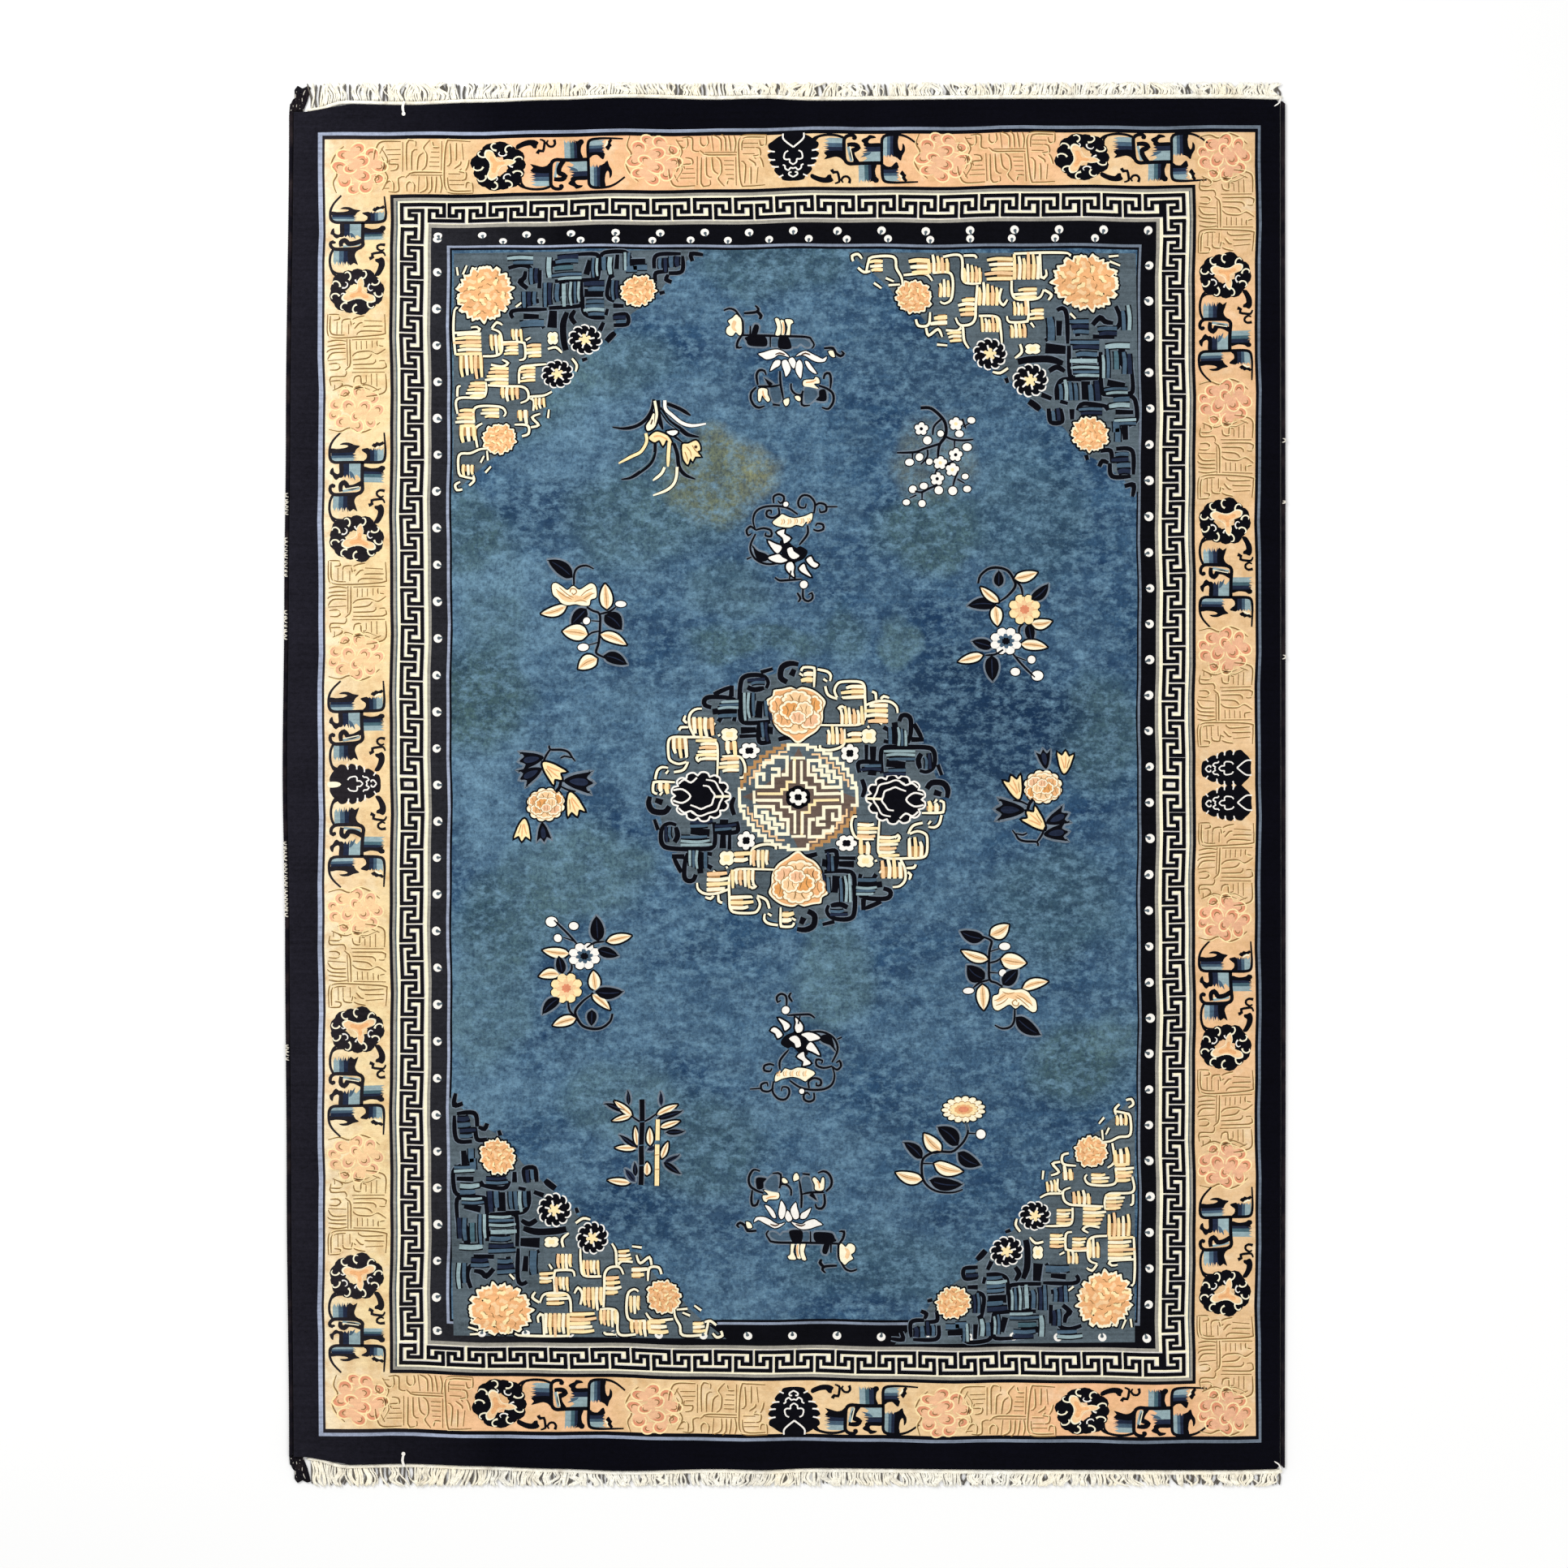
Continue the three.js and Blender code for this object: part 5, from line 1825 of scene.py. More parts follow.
CORNER_INK = [
    ([(1084, 352), (1110, 340), (1132, 372), (1134, 520)], 12), ([(1050, 400), (1050, 486)], 14),
    ([(1094, 404), (1090, 480)], 24), ([(1020, 504), (1044, 490)], 12),
    ([(1262, 420), (1300, 382), (1326, 402), (1366, 408)], 18),
    ([(1382, 322), (1402, 382), (1384, 432), (1310, 442)], 12), ([(1262, 480), (1372, 480)], 18),
    ([(1020, 544), (1124, 552)], 40), ([(1140, 530), (1146, 676), (1172, 692), (1290, 690)], 14),
    ([(1190, 560), (1240, 570), (1290, 596), (1200, 604)], 16),
    ([(1410, 542), (1414, 600), (1440, 650)], 26),
    ([(1302, 556), (1306, 744), (1334, 772), (1440, 770), (1464, 740), (1458, 612)], 14),
    ([(1336, 712), (1424, 728)], 26), ([(1226, 706), (1222, 800)], 34),
    ([(1078, 806), (1080, 744), (1112, 702), (1204, 700)], 14), ([(1094, 812), (1132, 822)], 16),
    ([(1034, 850), (1044, 918), (1100, 914), (1096, 850)], 12), ([(1152, 850), (1152, 902)], 20),
    ([(1180, 856), (1212, 820), (1330, 832)], 14), ([(1328, 824), (1340, 850)], 30),
    ([(1372, 862), (1462, 864)], 20), ([(1440, 780), (1472, 800), (1480, 900), (1440, 932)], 12),
    ([(1418, 932), (1426, 1004)], 26), ([(1300, 1060), (1352, 1060), (1360, 1120)], 14),
    ([(1380, 1050), (1462, 1060), (1470, 1180)], 14), ([(1350, 1124), (1362, 1190), (1456, 1190)], 14),
    ([(1296, 1140), (1312, 1112), (1342, 1122)], 12), ([(1410, 1140), (1432, 1160), (1404, 1172)], 14),
    ([(1424, 1240), (1470, 1232), (1464, 1292)], 11), ([(1228, 1080), (1236, 1106)], 16),
    ([(936, 812), (968, 836), (990, 856)], 22), ([(880, 610), (940, 600), (1040, 600), (1110, 620)], 24),
    ([(1040, 660), (1080, 640), (1120, 660)], 18), ([(1000, 780), (1050, 800)], 20),
    ([(820, 690), (830, 716)], 12), ([(1180, 440), (1186, 480)], 24),
]
CORNER_BLUE_TUFTS = [
    (("slate", "mist"), 1160, 560, 1280, 612, 2, False),
    (("slate", "navy"), 1414, 560, 1462, 664, 2, True),
    (("slate", "navy"), 1240, 712, 1298, 800, 2, True),
    (("slate", "navy"), 1052, 856, 1092, 906, 2, True),
    (("slate", "navy"), 1150, 394, 1238, 466, 3, False),
    (("slate", "mist"), 1412, 330, 1456, 440, 2, True),
    (("slate", "mist"), 1352, 784, 1440, 840, 2, False),
    (("slate", "navy"), 1290, 428, 1380, 470, 2, False),
    (("slate", "navy"), 1390, 1120, 1450, 1176, 2, False),
    (("slate", "mist"), 1030, 390, 1070, 500, 1, True),
    (("slate", "navy"), 1360, 900, 1396, 960, 1, True),
    (("slate", "navy"), 1150, 500, 1290, 540, 2, False),
    (("mist", "sage"), 1330, 512, 1446, 538, 1, False),
    (("mist", "slate"), 1154, 632, 1290, 682, 3, False),
    (("mist", "slate"), 1312, 552, 1346, 684, 2, True),
    (("slate", "mist"), 1322, 740, 1432, 768, 2, False),
    (("slate", "mist", "slate"), 1092, 714, 1184, 800, 4, True),
    (("mist", "slate"), 1370, 896, 1472, 926, 2, False),
    (("slate", "navy"), 1368, 1070, 1440, 1110, 2, False),
    (("sage", "slate"), 1372, 536, 1396, 640, 1, True),
    (("slate", "navy"), 1190, 842, 1300, 872, 2, False),
    (("slate", "navy"), 1372, 936, 1402, 1010, 1, True),
]
CORNER_BLOOMS = [((1226, 206), 166, 148, 17), ((352, 276), 98, 84, 11), ((1244, 976), 100, 90, 13)]
print("hooks in a corner:", len(CORNER_CREAM) + len(CORNER_INK))

# %% Corners
def dark_chrysanthemum(a, b, wide, high):
    with drawn_at(a, b):
        for k in range(11):
            turn = k * 2 * math.pi / 11
            c, s = math.cos(turn), math.sin(turn)
            with drawn_at(wide * 0.68 * c, high * 0.68 * s, math.degrees(turn), wide / 88):
                patch("ink", [(-34, -14), (10, -24), (28, 0), (10, 24), (-34, 14)], 3)
                stroke("bone", [(26, -18), (32, 0), (22, 18), (6, 22)], 8, 4, (0.6, 0.6))
        filled("straw", scalloped(wide * 0.42, high * 0.42, 5, 0.5, 0.4), 8, 5)
        for k in range(6):
            turn = k * math.pi / 3 + 0.3
            stroke("bone", [(wide * 0.3 * math.cos(turn), high * 0.3 * math.sin(turn)),
                            (wide * 0.62 * math.cos(turn), high * 0.62 * math.sin(turn))], 9, 5)


def corner():
    patch("twilight", [(x + 20 * (y > 100), y - 24 * (y > 100)) for x, y in CORNER_GROUND], 1, False)
    for line in CORNER_CREAM:
        hook("cream", line, 13, 15)
    for left, top, right, bottom, bars, upright in CORNER_TUFTS:
        tuft(("straw", "cream", "straw", "peach"), left, top, right, bottom, bars, upright)
    for line, width in CORNER_INK:
        hook("ink", line, max(width * 1.5, 23), 9)
    for dyes, left, top, right, bottom, bars, upright in CORNER_BLUE_TUFTS:
        tuft(dyes, left, top, right, bottom, bars, upright)
    dark_chrysanthemum(738, 568, 82, 74)
    dark_chrysanthemum(944, 706, 86, 78)
    open_blossom(956, 546, 44, "cream", "straw", 4, 30)
    for (a, b), wide, high, petals in CORNER_BLOOMS:
        wavy_bloom(a, b, wide, high, petals)


pen["zone"] = "corner"
CORNER_SETS = [
    # chart place of the corner, turn, size along and down
    (1400, 310, 0, 1, 1), (558, 310, -90, 0.84, 1.02), (558, 1654, 180, 0.95, 1.02),
    (1400, 1654, 90, 0.86, 1.0),
]
for col, row, turn, along, down in CORNER_SETS:
    with drawn_at(col, row, turn, (FINE * along, FINE * down)):
        with drawn_at(-1484, -46):
            corner()
print("corner points:", points_in("corner"))

# %% [markdown]
# ## Gold and blue grounds
# Two grounds are too large for a single dye lot. The wide border runs from pale gold at the
# left to peach at the right and at the ends. The field is a mottled blue with sideways streaks
# of paler wool, greenish patches and olive stains. Both are worked out from the place on the
# rug, by noise and by soft round spots. The near-black wools and the light blue change across
# the rug too, because its left side has faded.

# %% Spots and wandering edges
def spot(tree, here, col, row, wide, high):
    """A soft round mask about a chart place, one in the middle and nothing outside."""
    mapping = add_node(tree, "ShaderNodeMapping", vector_type="TEXTURE")
    mapping.inputs["Location"].default_value = ((col - MIDDLE_COL) * STEP, (MIDDLE_ROW - row) * STEP, 0)
    mapping.inputs["Scale"].default_value = (wide * STEP, high * STEP, 1000)
    link(tree, here, mapping.inputs["Vector"])
    gradient = add_node(tree, "ShaderNodeTexGradient", gradient_type="SPHERICAL")
    link(tree, mapping.outputs["Vector"], gradient.inputs["Vector"])
    return remap(tree, gradient.outputs["Fac"], 0.06, 0.42)


def wandering(tree, here, scale, reach):
    """Places pushed about by a noise, so that a round mask gets a wandering edge."""
    texture = add_node(tree, "ShaderNodeTexNoise", in_Scale=scale, in_Detail=4.0)
    link(tree, here, texture.inputs["Vector"])
    centred = add_node(tree, "ShaderNodeVectorMath", operation="SUBTRACT")
    centred.inputs[1].default_value = (0.5, 0.5, 0.5)
    link(tree, texture.outputs["Color"], centred.inputs[0])
    pushed = add_node(tree, "ShaderNodeVectorMath", operation="MULTIPLY_ADD")
    pushed.inputs[1].default_value = (reach, reach, 0)
    link(tree, centred.outputs["Vector"], pushed.inputs[0])
    link(tree, here, pushed.inputs[2])
    return pushed.outputs["Vector"]


print("masks:", spot.__name__, wandering.__name__)

# %% Gold ground
GOLD_SPOTS = [
    # col, row, wide, high, strength, tint
    (1510, 966, 190, 1500, 0.8, "peach"), (440, 966, 60, 260, 0.25, "peach"),
    (966, 195, 900, 120, 0.55, "peach"), (966, 1738, 900, 120, 0.55, "peach"),
    (760, 195, 210, 90, 0.8, "salmon"), (1200, 195, 170, 90, 0.7, "salmon"),
    (1500, 430, 90, 150, 0.4, "salmon"), (1360, 1738, 170, 90, 0.75, "salmon"),
    (640, 1738, 170, 90, 0.6, "salmon"), (1500, 1240, 90, 150, 0.35, "salmon"),
]
GOLD_PALE = (238, 214, 164)
GOLD_PEACH = (228, 189, 146)
GOLD_SALMON = (240, 182, 138)
GOLD_BLEACHED = (246, 232, 200)
GOLD_DEEP = (206, 164, 112)


def gold_colour(tree):
    here = add_node(tree, "ShaderNodeTexCoord").outputs["Object"]
    colour = linear(GOLD_PALE)
    wide_here = wandering(tree, here, 9.0, 0.1)
    for col, row, wide, high, strength, tint in GOLD_SPOTS:
        mask = maths(tree, "MULTIPLY", spot(tree, wide_here, col, row, wide, high), strength)
        colour = mix(tree, mask, colour, linear(GOLD_PEACH if tint == "peach" else GOLD_SALMON))
    split = add_node(tree, "ShaderNodeSeparateXYZ")
    link(tree, here, split.inputs["Vector"])
    faded = remap(tree, split.outputs["X"], -1.03, -1.13, 0.0, 0.75)
    colour = mix(tree, faded, colour, linear(GOLD_BLEACHED))
    blush = remap(tree, noise(tree, here, EVEN, 9.0, 4), 0.52, 0.7, 0, 0.45)
    colour = mix(tree, blush, colour, linear(GOLD_PEACH))
    worn = remap(tree, noise(tree, here, EVEN, 30.0, 6, 0.65), 0.44, 0.7, 0, 0.7)
    colour = mix(tree, worn, colour, linear(GOLD_DEEP))
    bleached = remap(tree, noise(tree, here, EVEN, 17.0, 5), 0.56, 0.76, 0, 0.5)
    return mix(tree, bleached, colour, linear(GOLD_BLEACHED))


print("spots on the gold:", len(GOLD_SPOTS))

# %% Blue ground
FIELD_DEEP = (34, 62, 94)
FIELD_MID = (56, 90, 120)
FIELD_PALE = (114, 150, 172)
FIELD_SHADE = (20, 44, 72)
FIELD_GREEN = (74, 100, 98)
FIELD_OLIVE = (142, 144, 104)
FIELD_TEAL = (98, 128, 130)
FIELD_SPOTS = [
    # col, row, wide, high, strength, colour
    (884, 588, 86, 66, 1.0, FIELD_OLIVE), (840, 600, 110, 90, 0.5, FIELD_GREEN),
    (1150, 650, 90, 60, 0.75, FIELD_GREEN), (1106, 788, 30, 34, 0.7, FIELD_TEAL),
    (1040, 775, 42, 46, 0.6, FIELD_GREEN), (930, 790, 100, 30, 0.7, FIELD_GREEN),
    (590, 870, 80, 70, 0.7, FIELD_GREEN), (610, 730, 60, 120, 0.5, FIELD_GREEN),
    (630, 1130, 90, 80, 0.6, FIELD_GREEN), (720, 1070, 110, 70, 0.6, FIELD_TEAL),
    (640, 470, 130, 90, 0.6, FIELD_TEAL), (1330, 1310, 80, 70, 0.75, FIELD_GREEN),
    (1376, 1270, 40, 40, 0.6, FIELD_TEAL), (1030, 1190, 60, 90, 0.6, FIELD_TEAL),
    (860, 1420, 110, 80, 0.5, FIELD_GREEN), (760, 1350, 90, 60, 0.5, FIELD_TEAL),
    (1350, 900, 70, 100, 0.6, FIELD_GREEN), (1300, 1120, 110, 90, 0.4, FIELD_GREEN),
    (950, 330, 130, 50, 0.5, FIELD_GREEN), (900, 720, 60, 50, 0.4, FIELD_TEAL),
    (1090, 1560, 160, 60, 0.35, FIELD_GREEN), (760, 450, 90, 60, 0.45, FIELD_TEAL),
    (600, 1240, 70, 90, 0.45, FIELD_TEAL), (1270, 640, 90, 110, 0.3, FIELD_GREEN),
    (1215, 890, 150, 120, 0.8, FIELD_SHADE), (690, 630, 90, 50, 0.45, FIELD_SHADE),
    (1180, 440, 150, 70, 0.35, FIELD_SHADE), (780, 1500, 140, 60, 0.35, FIELD_SHADE),
    (620, 700, 120, 34, 0.65, FIELD_PALE), (720, 780, 100, 26, 0.4, FIELD_PALE),
    (570, 655, 60, 60, 0.6, FIELD_GREEN), (580, 850, 80, 80, 0.6, FIELD_GREEN),
    (875, 1255, 110, 80, 0.25, FIELD_PALE), (770, 655, 90, 70, 0.5, FIELD_GREEN),
    (1150, 560, 60, 70, 0.35, FIELD_OLIVE),
]


def field_colour(tree):
    """Hand-dyed blue: bands of lighter and darker yarn, clouds, and old stains over them."""
    here = add_node(tree, "ShaderNodeTexCoord").outputs["Object"]
    split = add_node(tree, "ShaderNodeSeparateXYZ")
    link(tree, here, split.inputs["Vector"])
    streak = remap(tree, noise(tree, here, (1.6, 7, 1), 2.6, 5, 0.6), 0.36, 0.64)
    cloud = remap(tree, noise(tree, here, (1, 1.3, 1), 3.2, 5, 0.62), 0.38, 0.66)
    fine = remap(tree, noise(tree, here, (1, 1.2, 1), 22.0, 5, 0.7), 0.36, 0.66)
    colour = mix(tree, streak, linear(FIELD_DEEP), linear(FIELD_MID))
    leftward = remap(tree, split.outputs["X"], 0.75, -0.75, 0.3, 0.85)
    colour = mix(tree, maths(tree, "MULTIPLY", cloud, leftward), colour, linear(FIELD_PALE))
    wide_here = wandering(tree, here, 7.0, 0.16)
    for col, row, wide, high, strength, tint in FIELD_SPOTS:
        mask = maths(tree, "MULTIPLY", spot(tree, wide_here, col, row, wide, high), strength)
        colour = mix(tree, mask, colour, linear(tint))
    colour = mix(tree, maths(tree, "MULTIPLY", fine, 0.5), colour, linear(FIELD_SHADE))
    grain = remap(tree, noise(tree, here, (1.5, 1, 1), 85.0, 4, 0.7), 0.42, 0.66, 0, 0.6)
    colour = mix(tree, grain, colour, linear(FIELD_SHADE))
    paler = remap(tree, noise(tree, here, (1, 1.4, 1), 36.0, 6, 0.75), 0.46, 0.7, 0, 0.8)
    return mix(tree, paler, colour, linear(FIELD_PALE))


print("spots on the field:", len(FIELD_SPOTS))

# %% Wools that change across the rug
def across_rug(tree, start, stop, first, last):
    """A colour that changes from left to right, between two places given in metres."""
    here = add_node(tree, "ShaderNodeTexCoord").outputs["Object"]
    split = add_node(tree, "ShaderNodeSeparateXYZ")
    link(tree, here, split.inputs["Vector"])
    return mix(tree, remap(tree, split.outputs["X"], start, stop), linear(first), linear(last))


def band_colour(tree):
    """The outer band: slate at the left, nearly black at the right."""
    return across_rug(tree, -1.25, -0.7, (29, 28, 36), (5, 5, 13))


def pearl_band_colour(tree):
    """The band of pearls, which has faded to a soft black at the left."""
    return across_rug(tree, -0.88, -0.55, (38, 38, 43), (8, 8, 14))


def ink_colour(tree):
    """Near-black wool, worn to a brown black at the left."""
    return across_rug(tree, -1.15, -0.85, (40, 36, 40), (8, 8, 15))


def sky_colour(tree):
    return across_rug(tree, -1.1, 1.0, (156, 165, 186), (104, 115, 128))


dye_materials["gold"] = wool_material("wool_gold", gold_colour, 0.1, 0.14)
dye_materials["field"] = wool_material("wool_field", field_colour, 0.14, 0.3)
dye_materials["pearl_band"] = wool_material("wool_pearl_band", pearl_band_colour, 0.3, 0.5)
dye_materials["ink"] = wool_material("wool_ink", ink_colour, 0.3, 0.4)
dye_materials["sky"] = wool_material("wool_sky", sky_colour, 0.4, 0.3)
dye_materials["band"] = wool_material("wool_band", band_colour, 0.3, 0.5)
print("ground dyes:", [name for name in dye_materials if name not in DYES])

# %% [markdown]
# ## From the chart to pieces
# The pen has only kept lists so far. Each zone and dye becomes one mesh, closed and with its
# faces outward, and rides on the rug's one body.

# %% Inlay pieces
def mesh_piece(name, points, faces, material, smooth=False, marks=None):
    """One mesh of the rug's body. Marks are a value for each point, which a material can read."""
    mesh = bpy.data.meshes.new(name)
    mesh.from_pydata([tuple(p) for p in points], [], faces)
    mesh.validate()
    if marks:
        mesh.attributes.new("mark", "FLOAT", "POINT").data.foreach_set("value", marks)
    if smooth:
        mesh.polygons.foreach_set("use_smooth", [True] * len(mesh.polygons))
    mesh.materials.append(material)
    piece = bpy.data.objects.new(name, mesh)
    bpy.context.collection.objects.link(piece)
    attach(piece, "root")
    return piece


for (zone, dye), sheet in inlays.items():
    name = "pile_" + zone + "_" + dye
    mesh_piece(name, sheet["points"], sheet["faces"], dye_materials[dye])

# %% [markdown]
# ## The pile
# The cloth itself is one flat sheet. It keeps the CAD solid's outline, so a copy of that mesh
# is taken, its doubled points are merged, and its faces get the outer band's wool.

# %% Pile sheet
SAME_POINT = 0.00002         # points closer than this, in metres, are one


def merged_copy(node, name, material):
    """A copy of a CAD node's mesh with its doubled points merged, in a piece of its own."""
    source = bpy.data.objects[node]
    piece = bpy.data.objects.new(name, source.data.copy())
    piece.data.transform(source.matrix_world)
    piece.data.materials.clear()
    piece.data.materials.append(material)
    bpy.context.collection.objects.link(piece)
    bpy.ops.object.select_all(action="DESELECT")
    piece.select_set(True)
    bpy.context.view_layer.objects.active = piece
    bpy.ops.object.mode_set(mode="EDIT")
    bpy.ops.mesh.select_all(action="SELECT")
    bpy.ops.mesh.remove_doubles(threshold=SAME_POINT)
    bpy.ops.mesh.normals_make_consistent(inside=False)
    bpy.ops.object.mode_set(mode="OBJECT")
    return piece


pile = merged_copy("rug_pile", "pile_sheet", dye_materials["band"])
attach(pile, "root")
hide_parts("rug_pile")

# %% [markdown]
# ## Side cords
# The outer warps are whipped with dark wool. Close turns make slanted ribs, so the cord is
# swept as rings whose radius swells once per turn and whose angle leans along the cord. Worn
# turns let the pale warps show as small specks.

# %% Cord sizes and rings
MM = 0.001
CORD_WIDTH = 12 * MM
CORD_HEIGHT = 9 * MM
RIB_PITCH = 6 * MM
RINGS_PER_RIB = 4
CORD_SIDES = 8
RIB_SWELL = 0.06
SLANT = 3.0 * MM
GAP = 0.3 * MM
LEFT_SIDE = [
    # place along the rug, distance out from its middle line, in millimetres
    (-1640, 1220), (-980, 1226), (-370, 1230), (30, 1236), (450, 1232), (870, 1228), (1640, 1220),
]
RIGHT_SIDE = [(-1640, 1235), (-600, 1237), (500, 1236.5), (1640, 1235.5)]


def smooth_table(table, value):
    """Reads a table with an eased step between its rows."""
    value = np.clip(value, table[0][0], table[-1][0])
    result = np.full_like(value, table[0][1], dtype=float)
    for (x0, y0), (x1, y1) in zip(table[:-1], table[1:]):
        t = np.clip((value - x0) / (x1 - x0), 0, 1)
        result += (y1 - y0) * t * t * (3 - 2 * t)
    return result


def tube(centres, radii_wide, radii_high, angles, sides, slant=0.0):
    """Rings round a line in the floor's plane, closed at both ends."""
    count = len(centres)
    way = unit(np.gradient(centres[:, :2], axis=0))
    across = left_of(way)
    theta = np.arange(sides) * 2 * math.pi / sides + angles
    points = np.zeros((count, sides, 3))
    for k in range(sides):
        c, s = math.cos(theta[k]), math.sin(theta[k])
        points[:, k, :2] = centres[:, :2] + across * (radii_wide * c)[:, None] + way * (slant * c)
        points[:, k, 2] = centres[:, 2] + radii_high * s
    faces = []
    for i in range(count - 1):
        for k in range(sides):
            m = (k + 1) % sides
            faces.append([i * sides + k, i * sides + m, (i + 1) * sides + m, (i + 1) * sides + k])
    faces.append([k for k in reversed(range(sides))])
    faces.append([(count - 1) * sides + k for k in range(sides)])
    return points.reshape(-1, 3), faces


# %% Cord wool and strands
def marked(tree, colour, tint):
    """Gives marked parts of a mesh another colour."""
    mark = add_node(tree, "ShaderNodeAttribute", attribute_name="mark").outputs["Fac"]
    return mix(tree, mark, colour, linear(tint))


def cord_colour(tree):
    """Dark wool, with pale warps where the whipping is worn."""
    here = add_node(tree, "ShaderNodeTexCoord").outputs["Object"]
    rust = remap(tree, noise(tree, here, EVEN, 22.0, 3), 0.45, 0.75)
    dark = mix(tree, rust, linear((16, 14, 22)), linear((44, 36, 38)))
    return marked(tree, dark, (226, 220, 206))


cord_material = wool_material("whipped_wool", cord_colour, 0.2, 0.1, 0.6)


STRAND_SIDES = 5
ROOT_SHARE = 0.7             # share of a strand's thickness left at its root and at its tip
TIP_SHARE = 0.4


class Bundle:
    """Gathers tubes and slabs into one mesh, with a mark for each point."""
    def __init__(self):
        self.points, self.faces, self.marks = [], [], []

    def take(self, points, faces, mark=0.0):
        first = len(self.points)
        self.points.extend(map(tuple, points))
        self.faces.extend([[first + k for k in face] for face in faces])
        self.marks.extend([mark] * len(points))

    def strand(self, line, thick, mark):
        """A strand through places in millimetres, drawn in at both tips."""
        line = np.array(line, float)
        radius = np.full(len(line), float(thick))
        radius[0] *= ROOT_SHARE
        radius[-1] *= TIP_SHARE
        self.take(*tube(line * MM, radius * MM, radius * MM, 0.3, STRAND_SIDES), mark)


print("sides of a strand:", STRAND_SIDES)

# %% Tails and worn turns
TAIL_CORNER = (-1207.7, 1656)
TAIL = [
    # across and onward from the pile's corner, in millimetres
    (-12, -3), (-10, 20), (2, 31), (1, 55), (9, 66), (21, 59), (33, 65), (41, 62), (33, 30), (22, 3),
    (0, 1.5), (-1, -3),
]
TAIL_THICK = 4.4
TAIL_STRANDS = 15
LEFT_WORN = [(613, 636), (668, 713), (757, 791), (1040, 1130), (1290, 1310)]
RIGHT_WORN = [(545, 550), (620, 624), (812, 816)]
WORN_STEP = 5.2
WORN_HEIGHT = 8.8
TAIL_FROM = 1.655            # where the left cord ends and its tails start, in metres
SEED = 7
random = np.random.default_rng(SEED)


def tail(bundle, end):
    """A frayed dark tail past a left corner. The end is one at the top and minus one below."""
    outline = np.array(TAIL, float)
    count = len(outline)
    flat = np.column_stack([TAIL_CORNER[0] + outline[:, 0], end * (TAIL_CORNER[1] + outline[:, 1])])
    rings = [np.column_stack([flat, np.full(count, height)]) for height in (0.3, TAIL_THICK)]
    faces = [[i, (i + 1) % count, count + (i + 1) % count, count + i] for i in range(count)]
    faces += [list(range(count, 2 * count)), list(range(count))[::-1]]
    if end > 0:
        faces = [face[::-1] for face in faces]
    bundle.take(np.vstack(rings) * MM, faces)
    for k in range(TAIL_STRANDS):
        pale = k % 4 == 0
        across = -8 + 34 * k / TAIL_STRANDS
        reach = (46 + 8 * math.sin(k * 2.3)) if k > 3 else 24 + 8 * k
        t = np.linspace(0, 1, 8)
        x = TAIL_CORNER[0] + across + 8 * t + 3.4 * np.sin(t * 5 + k * 1.7)
        y = end * (TAIL_CORNER[1] + 4 + reach * t)
        line = np.column_stack([x, y, np.full(8, TAIL_THICK)])
        bundle.strand(line, 1.3 if pale else 2.2, 0.85 if pale else 0.0)


def worn(bundle, side, table, spans):
    """Pale warp ends that stand out of the cord where its whipping has gone."""
    for top, bottom in spans:
        for row in np.arange(top, bottom, WORN_STEP):
            y = (MIDDLE_ROW - row) * STEP / MM + random.uniform(-2, 2)
            out = float(smooth_table(table, np.array([y]))[0])
            spread = random.uniform(2, 5)
            places = [(out - 9, y), (out - 4, y + spread * 0.3), (out - 0.6, y + spread),
                      (out - 3, y + spread * 1.8), (out - 8, y + spread * 2)]
            bundle.strand([(side * x, b, WORN_HEIGHT) for x, b in places], random.uniform(1.3, 2.0), 1.0)


print("tail strands:", TAIL_STRANDS, "worn spans:", len(LEFT_WORN) + len(RIGHT_WORN))

# %% Side cords
def side_cord(name, side, table, tails, spans):
    """One whipped cord along a side. The side is minus one at the left and one at the right."""
    reach = TAIL_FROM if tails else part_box(name)[1].y
    rings = int(2 * reach / RIB_PITCH * RINGS_PER_RIB)
    along = np.linspace(-reach, reach, rings)
    out = smooth_table(table, along / MM) * MM
    centres = np.column_stack([side * (out - CORD_WIDTH / 2), along, np.full(rings, CORD_HEIGHT / 2)])
    phase = np.arange(rings) % RINGS_PER_RIB / RINGS_PER_RIB
    swell = 1 - RIB_SWELL + RIB_SWELL * np.sin(math.pi * phase) ** 0.6
    swell[0] = swell[-1] = 0.5
    bundle = Bundle()
    radii = (CORD_WIDTH / 2 * swell, CORD_HEIGHT / 2 * swell)
    bundle.take(*tube(centres, *radii, 0.3, CORD_SIDES, SLANT * side))
    worn(bundle, side, table, spans)
    for end in (1, -1) if tails else ():
        tail(bundle, end)
    piece = mesh_piece("cord_" + ("left" if side < 0 else "right"), bundle.points, bundle.faces,
                       cord_material, smooth=True, marks=bundle.marks)
    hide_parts(name)
    print(piece.name, "rings", rings, "reach", round(reach, 3))


side_cord("selvedge_left", -1, LEFT_SIDE, True, LEFT_WORN)
side_cord("selvedge_right", 1, RIGHT_SIDE, False, RIGHT_WORN)

# %% [markdown]
# ## Fringes
# At either end the cotton warps leave the pile as a narrow flat web and then as loose strands.
# Neighbours lean together in waves, as they were last combed or trodden, and some curl. The
# web is one strip that follows the pile's stepped end, and each strand is a thin tapered tube.

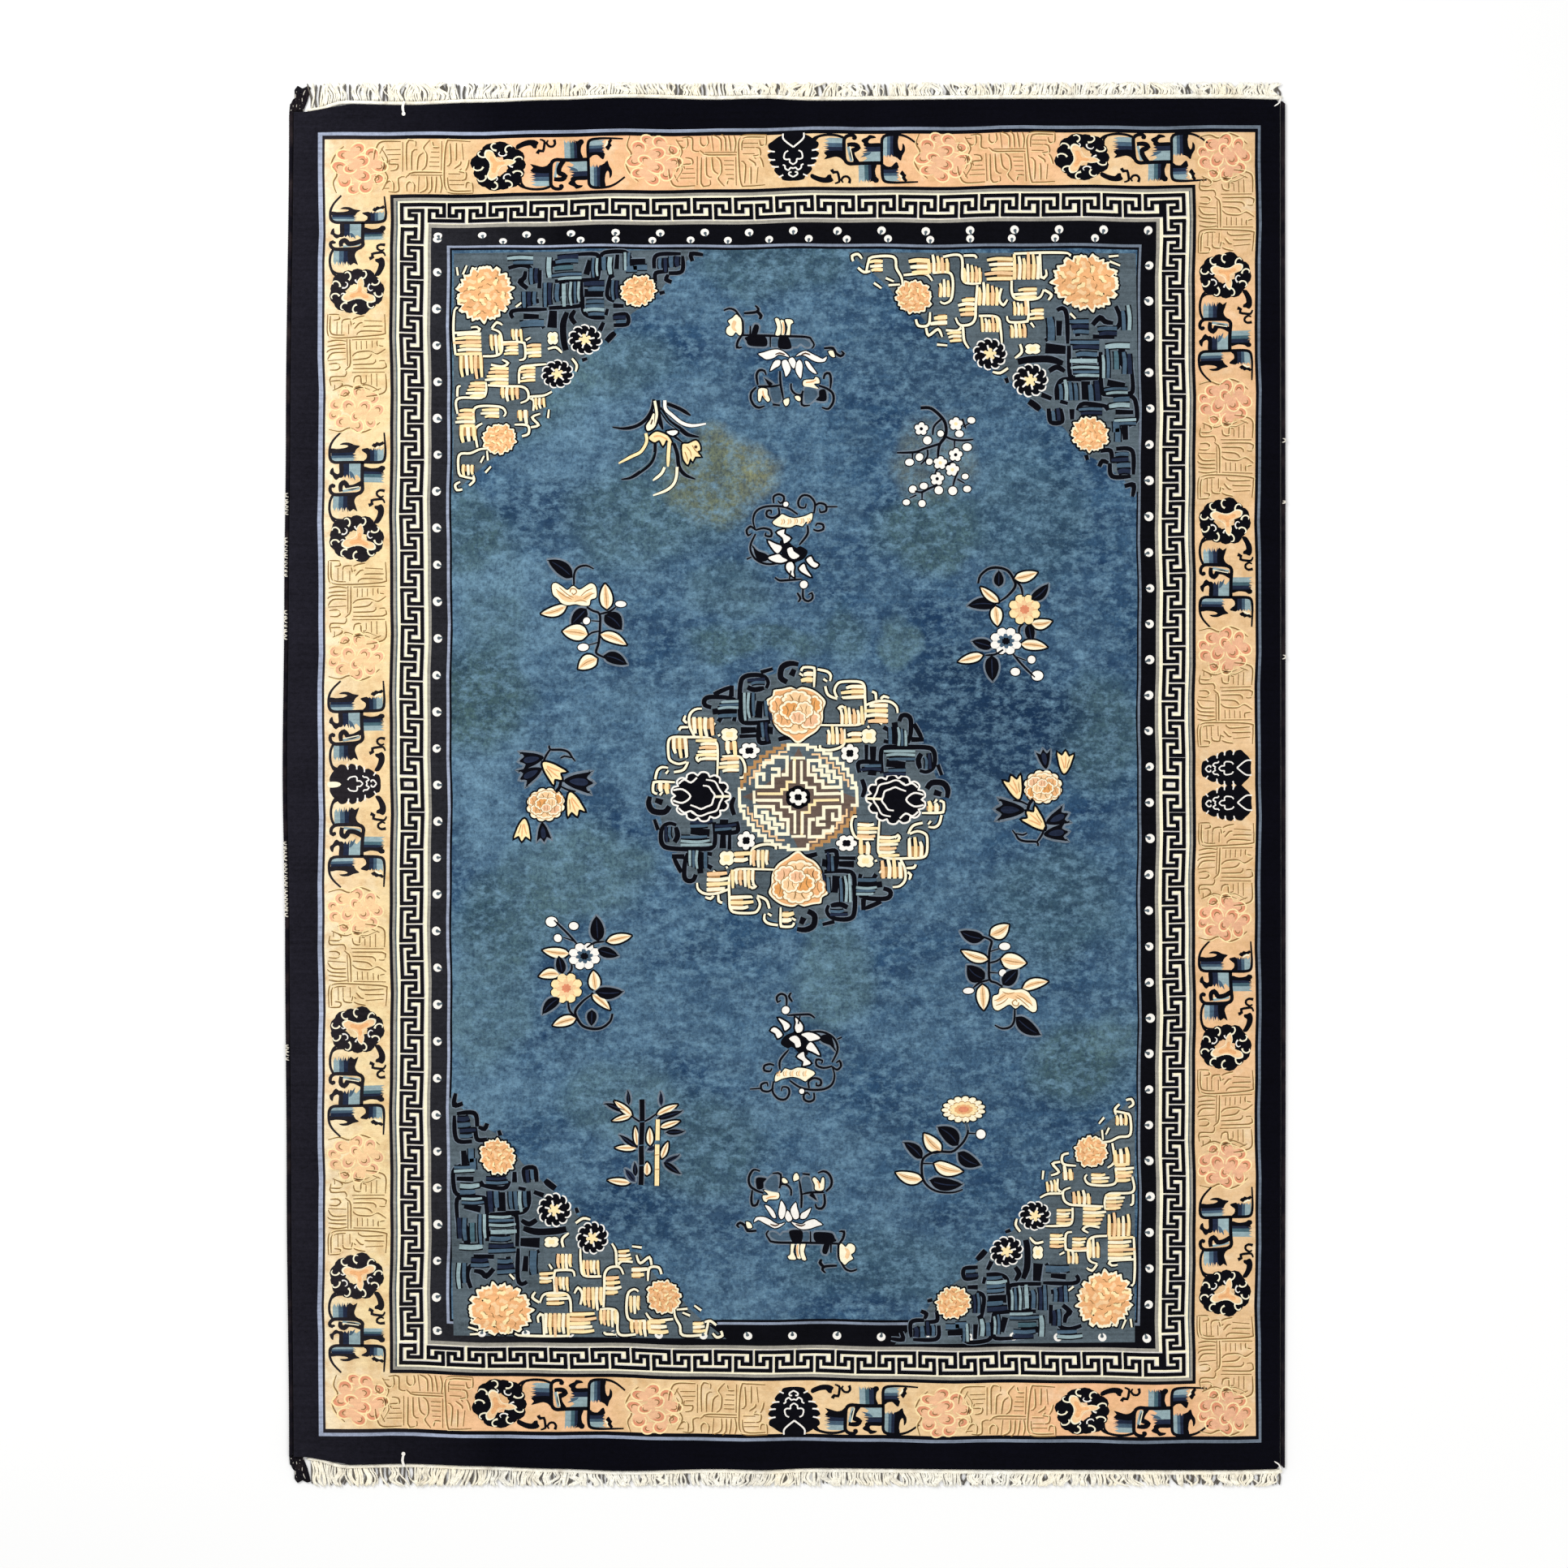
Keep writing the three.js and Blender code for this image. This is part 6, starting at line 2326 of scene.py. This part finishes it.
# %% Fringe sizes and cotton
ENDS = [
    # place across the rug, distance of the pile's end from the middle, in millimetres
    (-1236, 1656), (-1162, 1657), (-1082, 1676), (-932, 1673), (-752, 1679), (-572, 1685),
    (-392, 1691), (-160, 1686), (-50, 1689), (60, 1684), (600, 1688), (1100, 1689), (1236, 1686),
]
WEB_LEFT = -1176
WEB_DEPTH = 9
WEB_STEPS = 240
WEB_HIGH = 4
LOCKS = 112
STRANDS_IN_LOCK = 4
# dark strands laid under the locks are a painted shade between the strands
SHADE_STRANDS = 230
STRAND_STEPS = 9
REACH_END = 1733
FRINGE_RIGHT = 1228          # the fringe runs on to the right corner
# a stretch where the locks are thin, so that more of the dark strands, a painted shade, show through
SHADE_GAP_MIDDLE, SHADE_GAP_WIDTH = 935, 70


def cotton_colour(tree):
    here = add_node(tree, "ShaderNodeTexCoord").outputs["Object"]
    soil = remap(tree, noise(tree, here, (1, 0.4, 1), 30.0, 3), 0.56, 0.74)
    tint = remap(tree, noise(tree, here, EVEN, 9.0, 3), 0.35, 0.65)
    clean = mix(tree, tint, linear((255, 252, 240)), linear((248, 240, 218)))
    used = mix(tree, maths(tree, "MULTIPLY", soil, 0.5), clean, linear((176, 164, 146)))
    # marked strands turn near-black: a painted shade under and between the locks
    return marked(tree, used, (52, 45, 42))


cotton = wool_material("cotton_warp", cotton_colour, 0.1, 0.35, 0.4)


print("locks an end:", LOCKS, "painted shade strands:", SHADE_STRANDS)

# %% Fringes
def warp(bundle, x, side, root, reach, lean, curl, turns, thick, height, mark=0.0):
    """One let-out warp. It leans and curls as it lies on the floor."""
    t = np.linspace(0, 1, STRAND_STEPS)
    sway = lean * reach * t ** 1.5 + curl * np.sin(t * math.pi * turns) * t ** 0.6
    line = np.column_stack([x + sway, side * (root + reach * t), np.full(STRAND_STEPS, height)])
    bundle.strand(line, thick, mark)


def fringe(name, side):
    """A web and its warps. The side is one at the top end and minus one at the bottom."""
    bundle = Bundle()
    xs = np.linspace(WEB_LEFT, FRINGE_RIGHT, WEB_STEPS)
    ends = smooth_table(ENDS, xs)
    deep = np.interp(xs, (WEB_LEFT, FRINGE_RIGHT), (10, 14))
    web = np.column_stack([xs, side * (ends + GAP / MM + deep / 2), np.full(len(xs), WEB_HIGH * 0.8)]) * MM
    ripple = 1 + 0.06 * np.sin(xs / 4.1)
    ripple[0] = ripple[-1] = 0.4
    bundle.take(*tube(web, deep / 2 * MM * ripple * 0.98, WEB_HIGH * 0.78 * MM * ripple, 0.4, 8))
    width = FRINGE_RIGHT - WEB_LEFT - 8
    # low dark strands, marked for a painted shade between the locks
    for k in range(SHADE_STRANDS):
        x = WEB_LEFT + 6 + width * (k + 0.5) / SHADE_STRANDS + random.uniform(-2, 2)
        root = float(smooth_table(ENDS, np.array([x]))[0]) + WEB_DEPTH
        reach = REACH_END - 5 - root - abs(random.normal(0, 4))
        warp(bundle, x, side, root, reach, random.normal(0, 0.12), random.normal(0, 3), 1.6,
             random.uniform(2.2, 3.0), 3.1, 0.9)
    for lock in range(LOCKS):
        middle = WEB_LEFT + 8 + (width - 8) * (lock + 0.5) / LOCKS
        drift = 0.34 * math.sin(middle / 105 + side) + 0.2 * math.sin(middle / 41)
        lean = np.clip(drift + random.normal(0, 0.16), -0.6, 0.6)
        curl, turns = random.normal(0, 7.5), random.uniform(1.1, 2.6)
        # near the middle of the shade gap the locks thin out, so that the painted shade shows
        bare = 0.08 + 0.6 * math.exp(-((middle - SHADE_GAP_MIDDLE) / SHADE_GAP_WIDTH) ** 2)
        for k in range(STRANDS_IN_LOCK if random.uniform(0, 1) > bare else 1):
            x = middle + (k - 1.5) * 5.0 + random.uniform(-1.4, 1.4)
            x = float(np.clip(x, WEB_LEFT + 4, FRINGE_RIGHT - 4))
            root = float(smooth_table(ENDS, np.array([x]))[0]) + WEB_DEPTH + 1
            reach = REACH_END - 2 - root - abs(random.normal(0, 3))
            warp(bundle, x, side, root, reach, lean + random.normal(0, 0.05),
                 curl + random.normal(0, 1.4), turns, random.uniform(2.0, 2.9), 4.0 + 0.5 * k)
    piece = mesh_piece(name.replace("fringe", "warps"), bundle.points, bundle.faces, cotton,
                       smooth=True, marks=bundle.marks)
    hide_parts(name)
    return piece


fringe_top = fringe("fringe_top", 1)
fringe_bottom = fringe("fringe_bottom", -1)
print("fringe faces:", len(fringe_top.data.polygons), len(fringe_bottom.data.polygons))
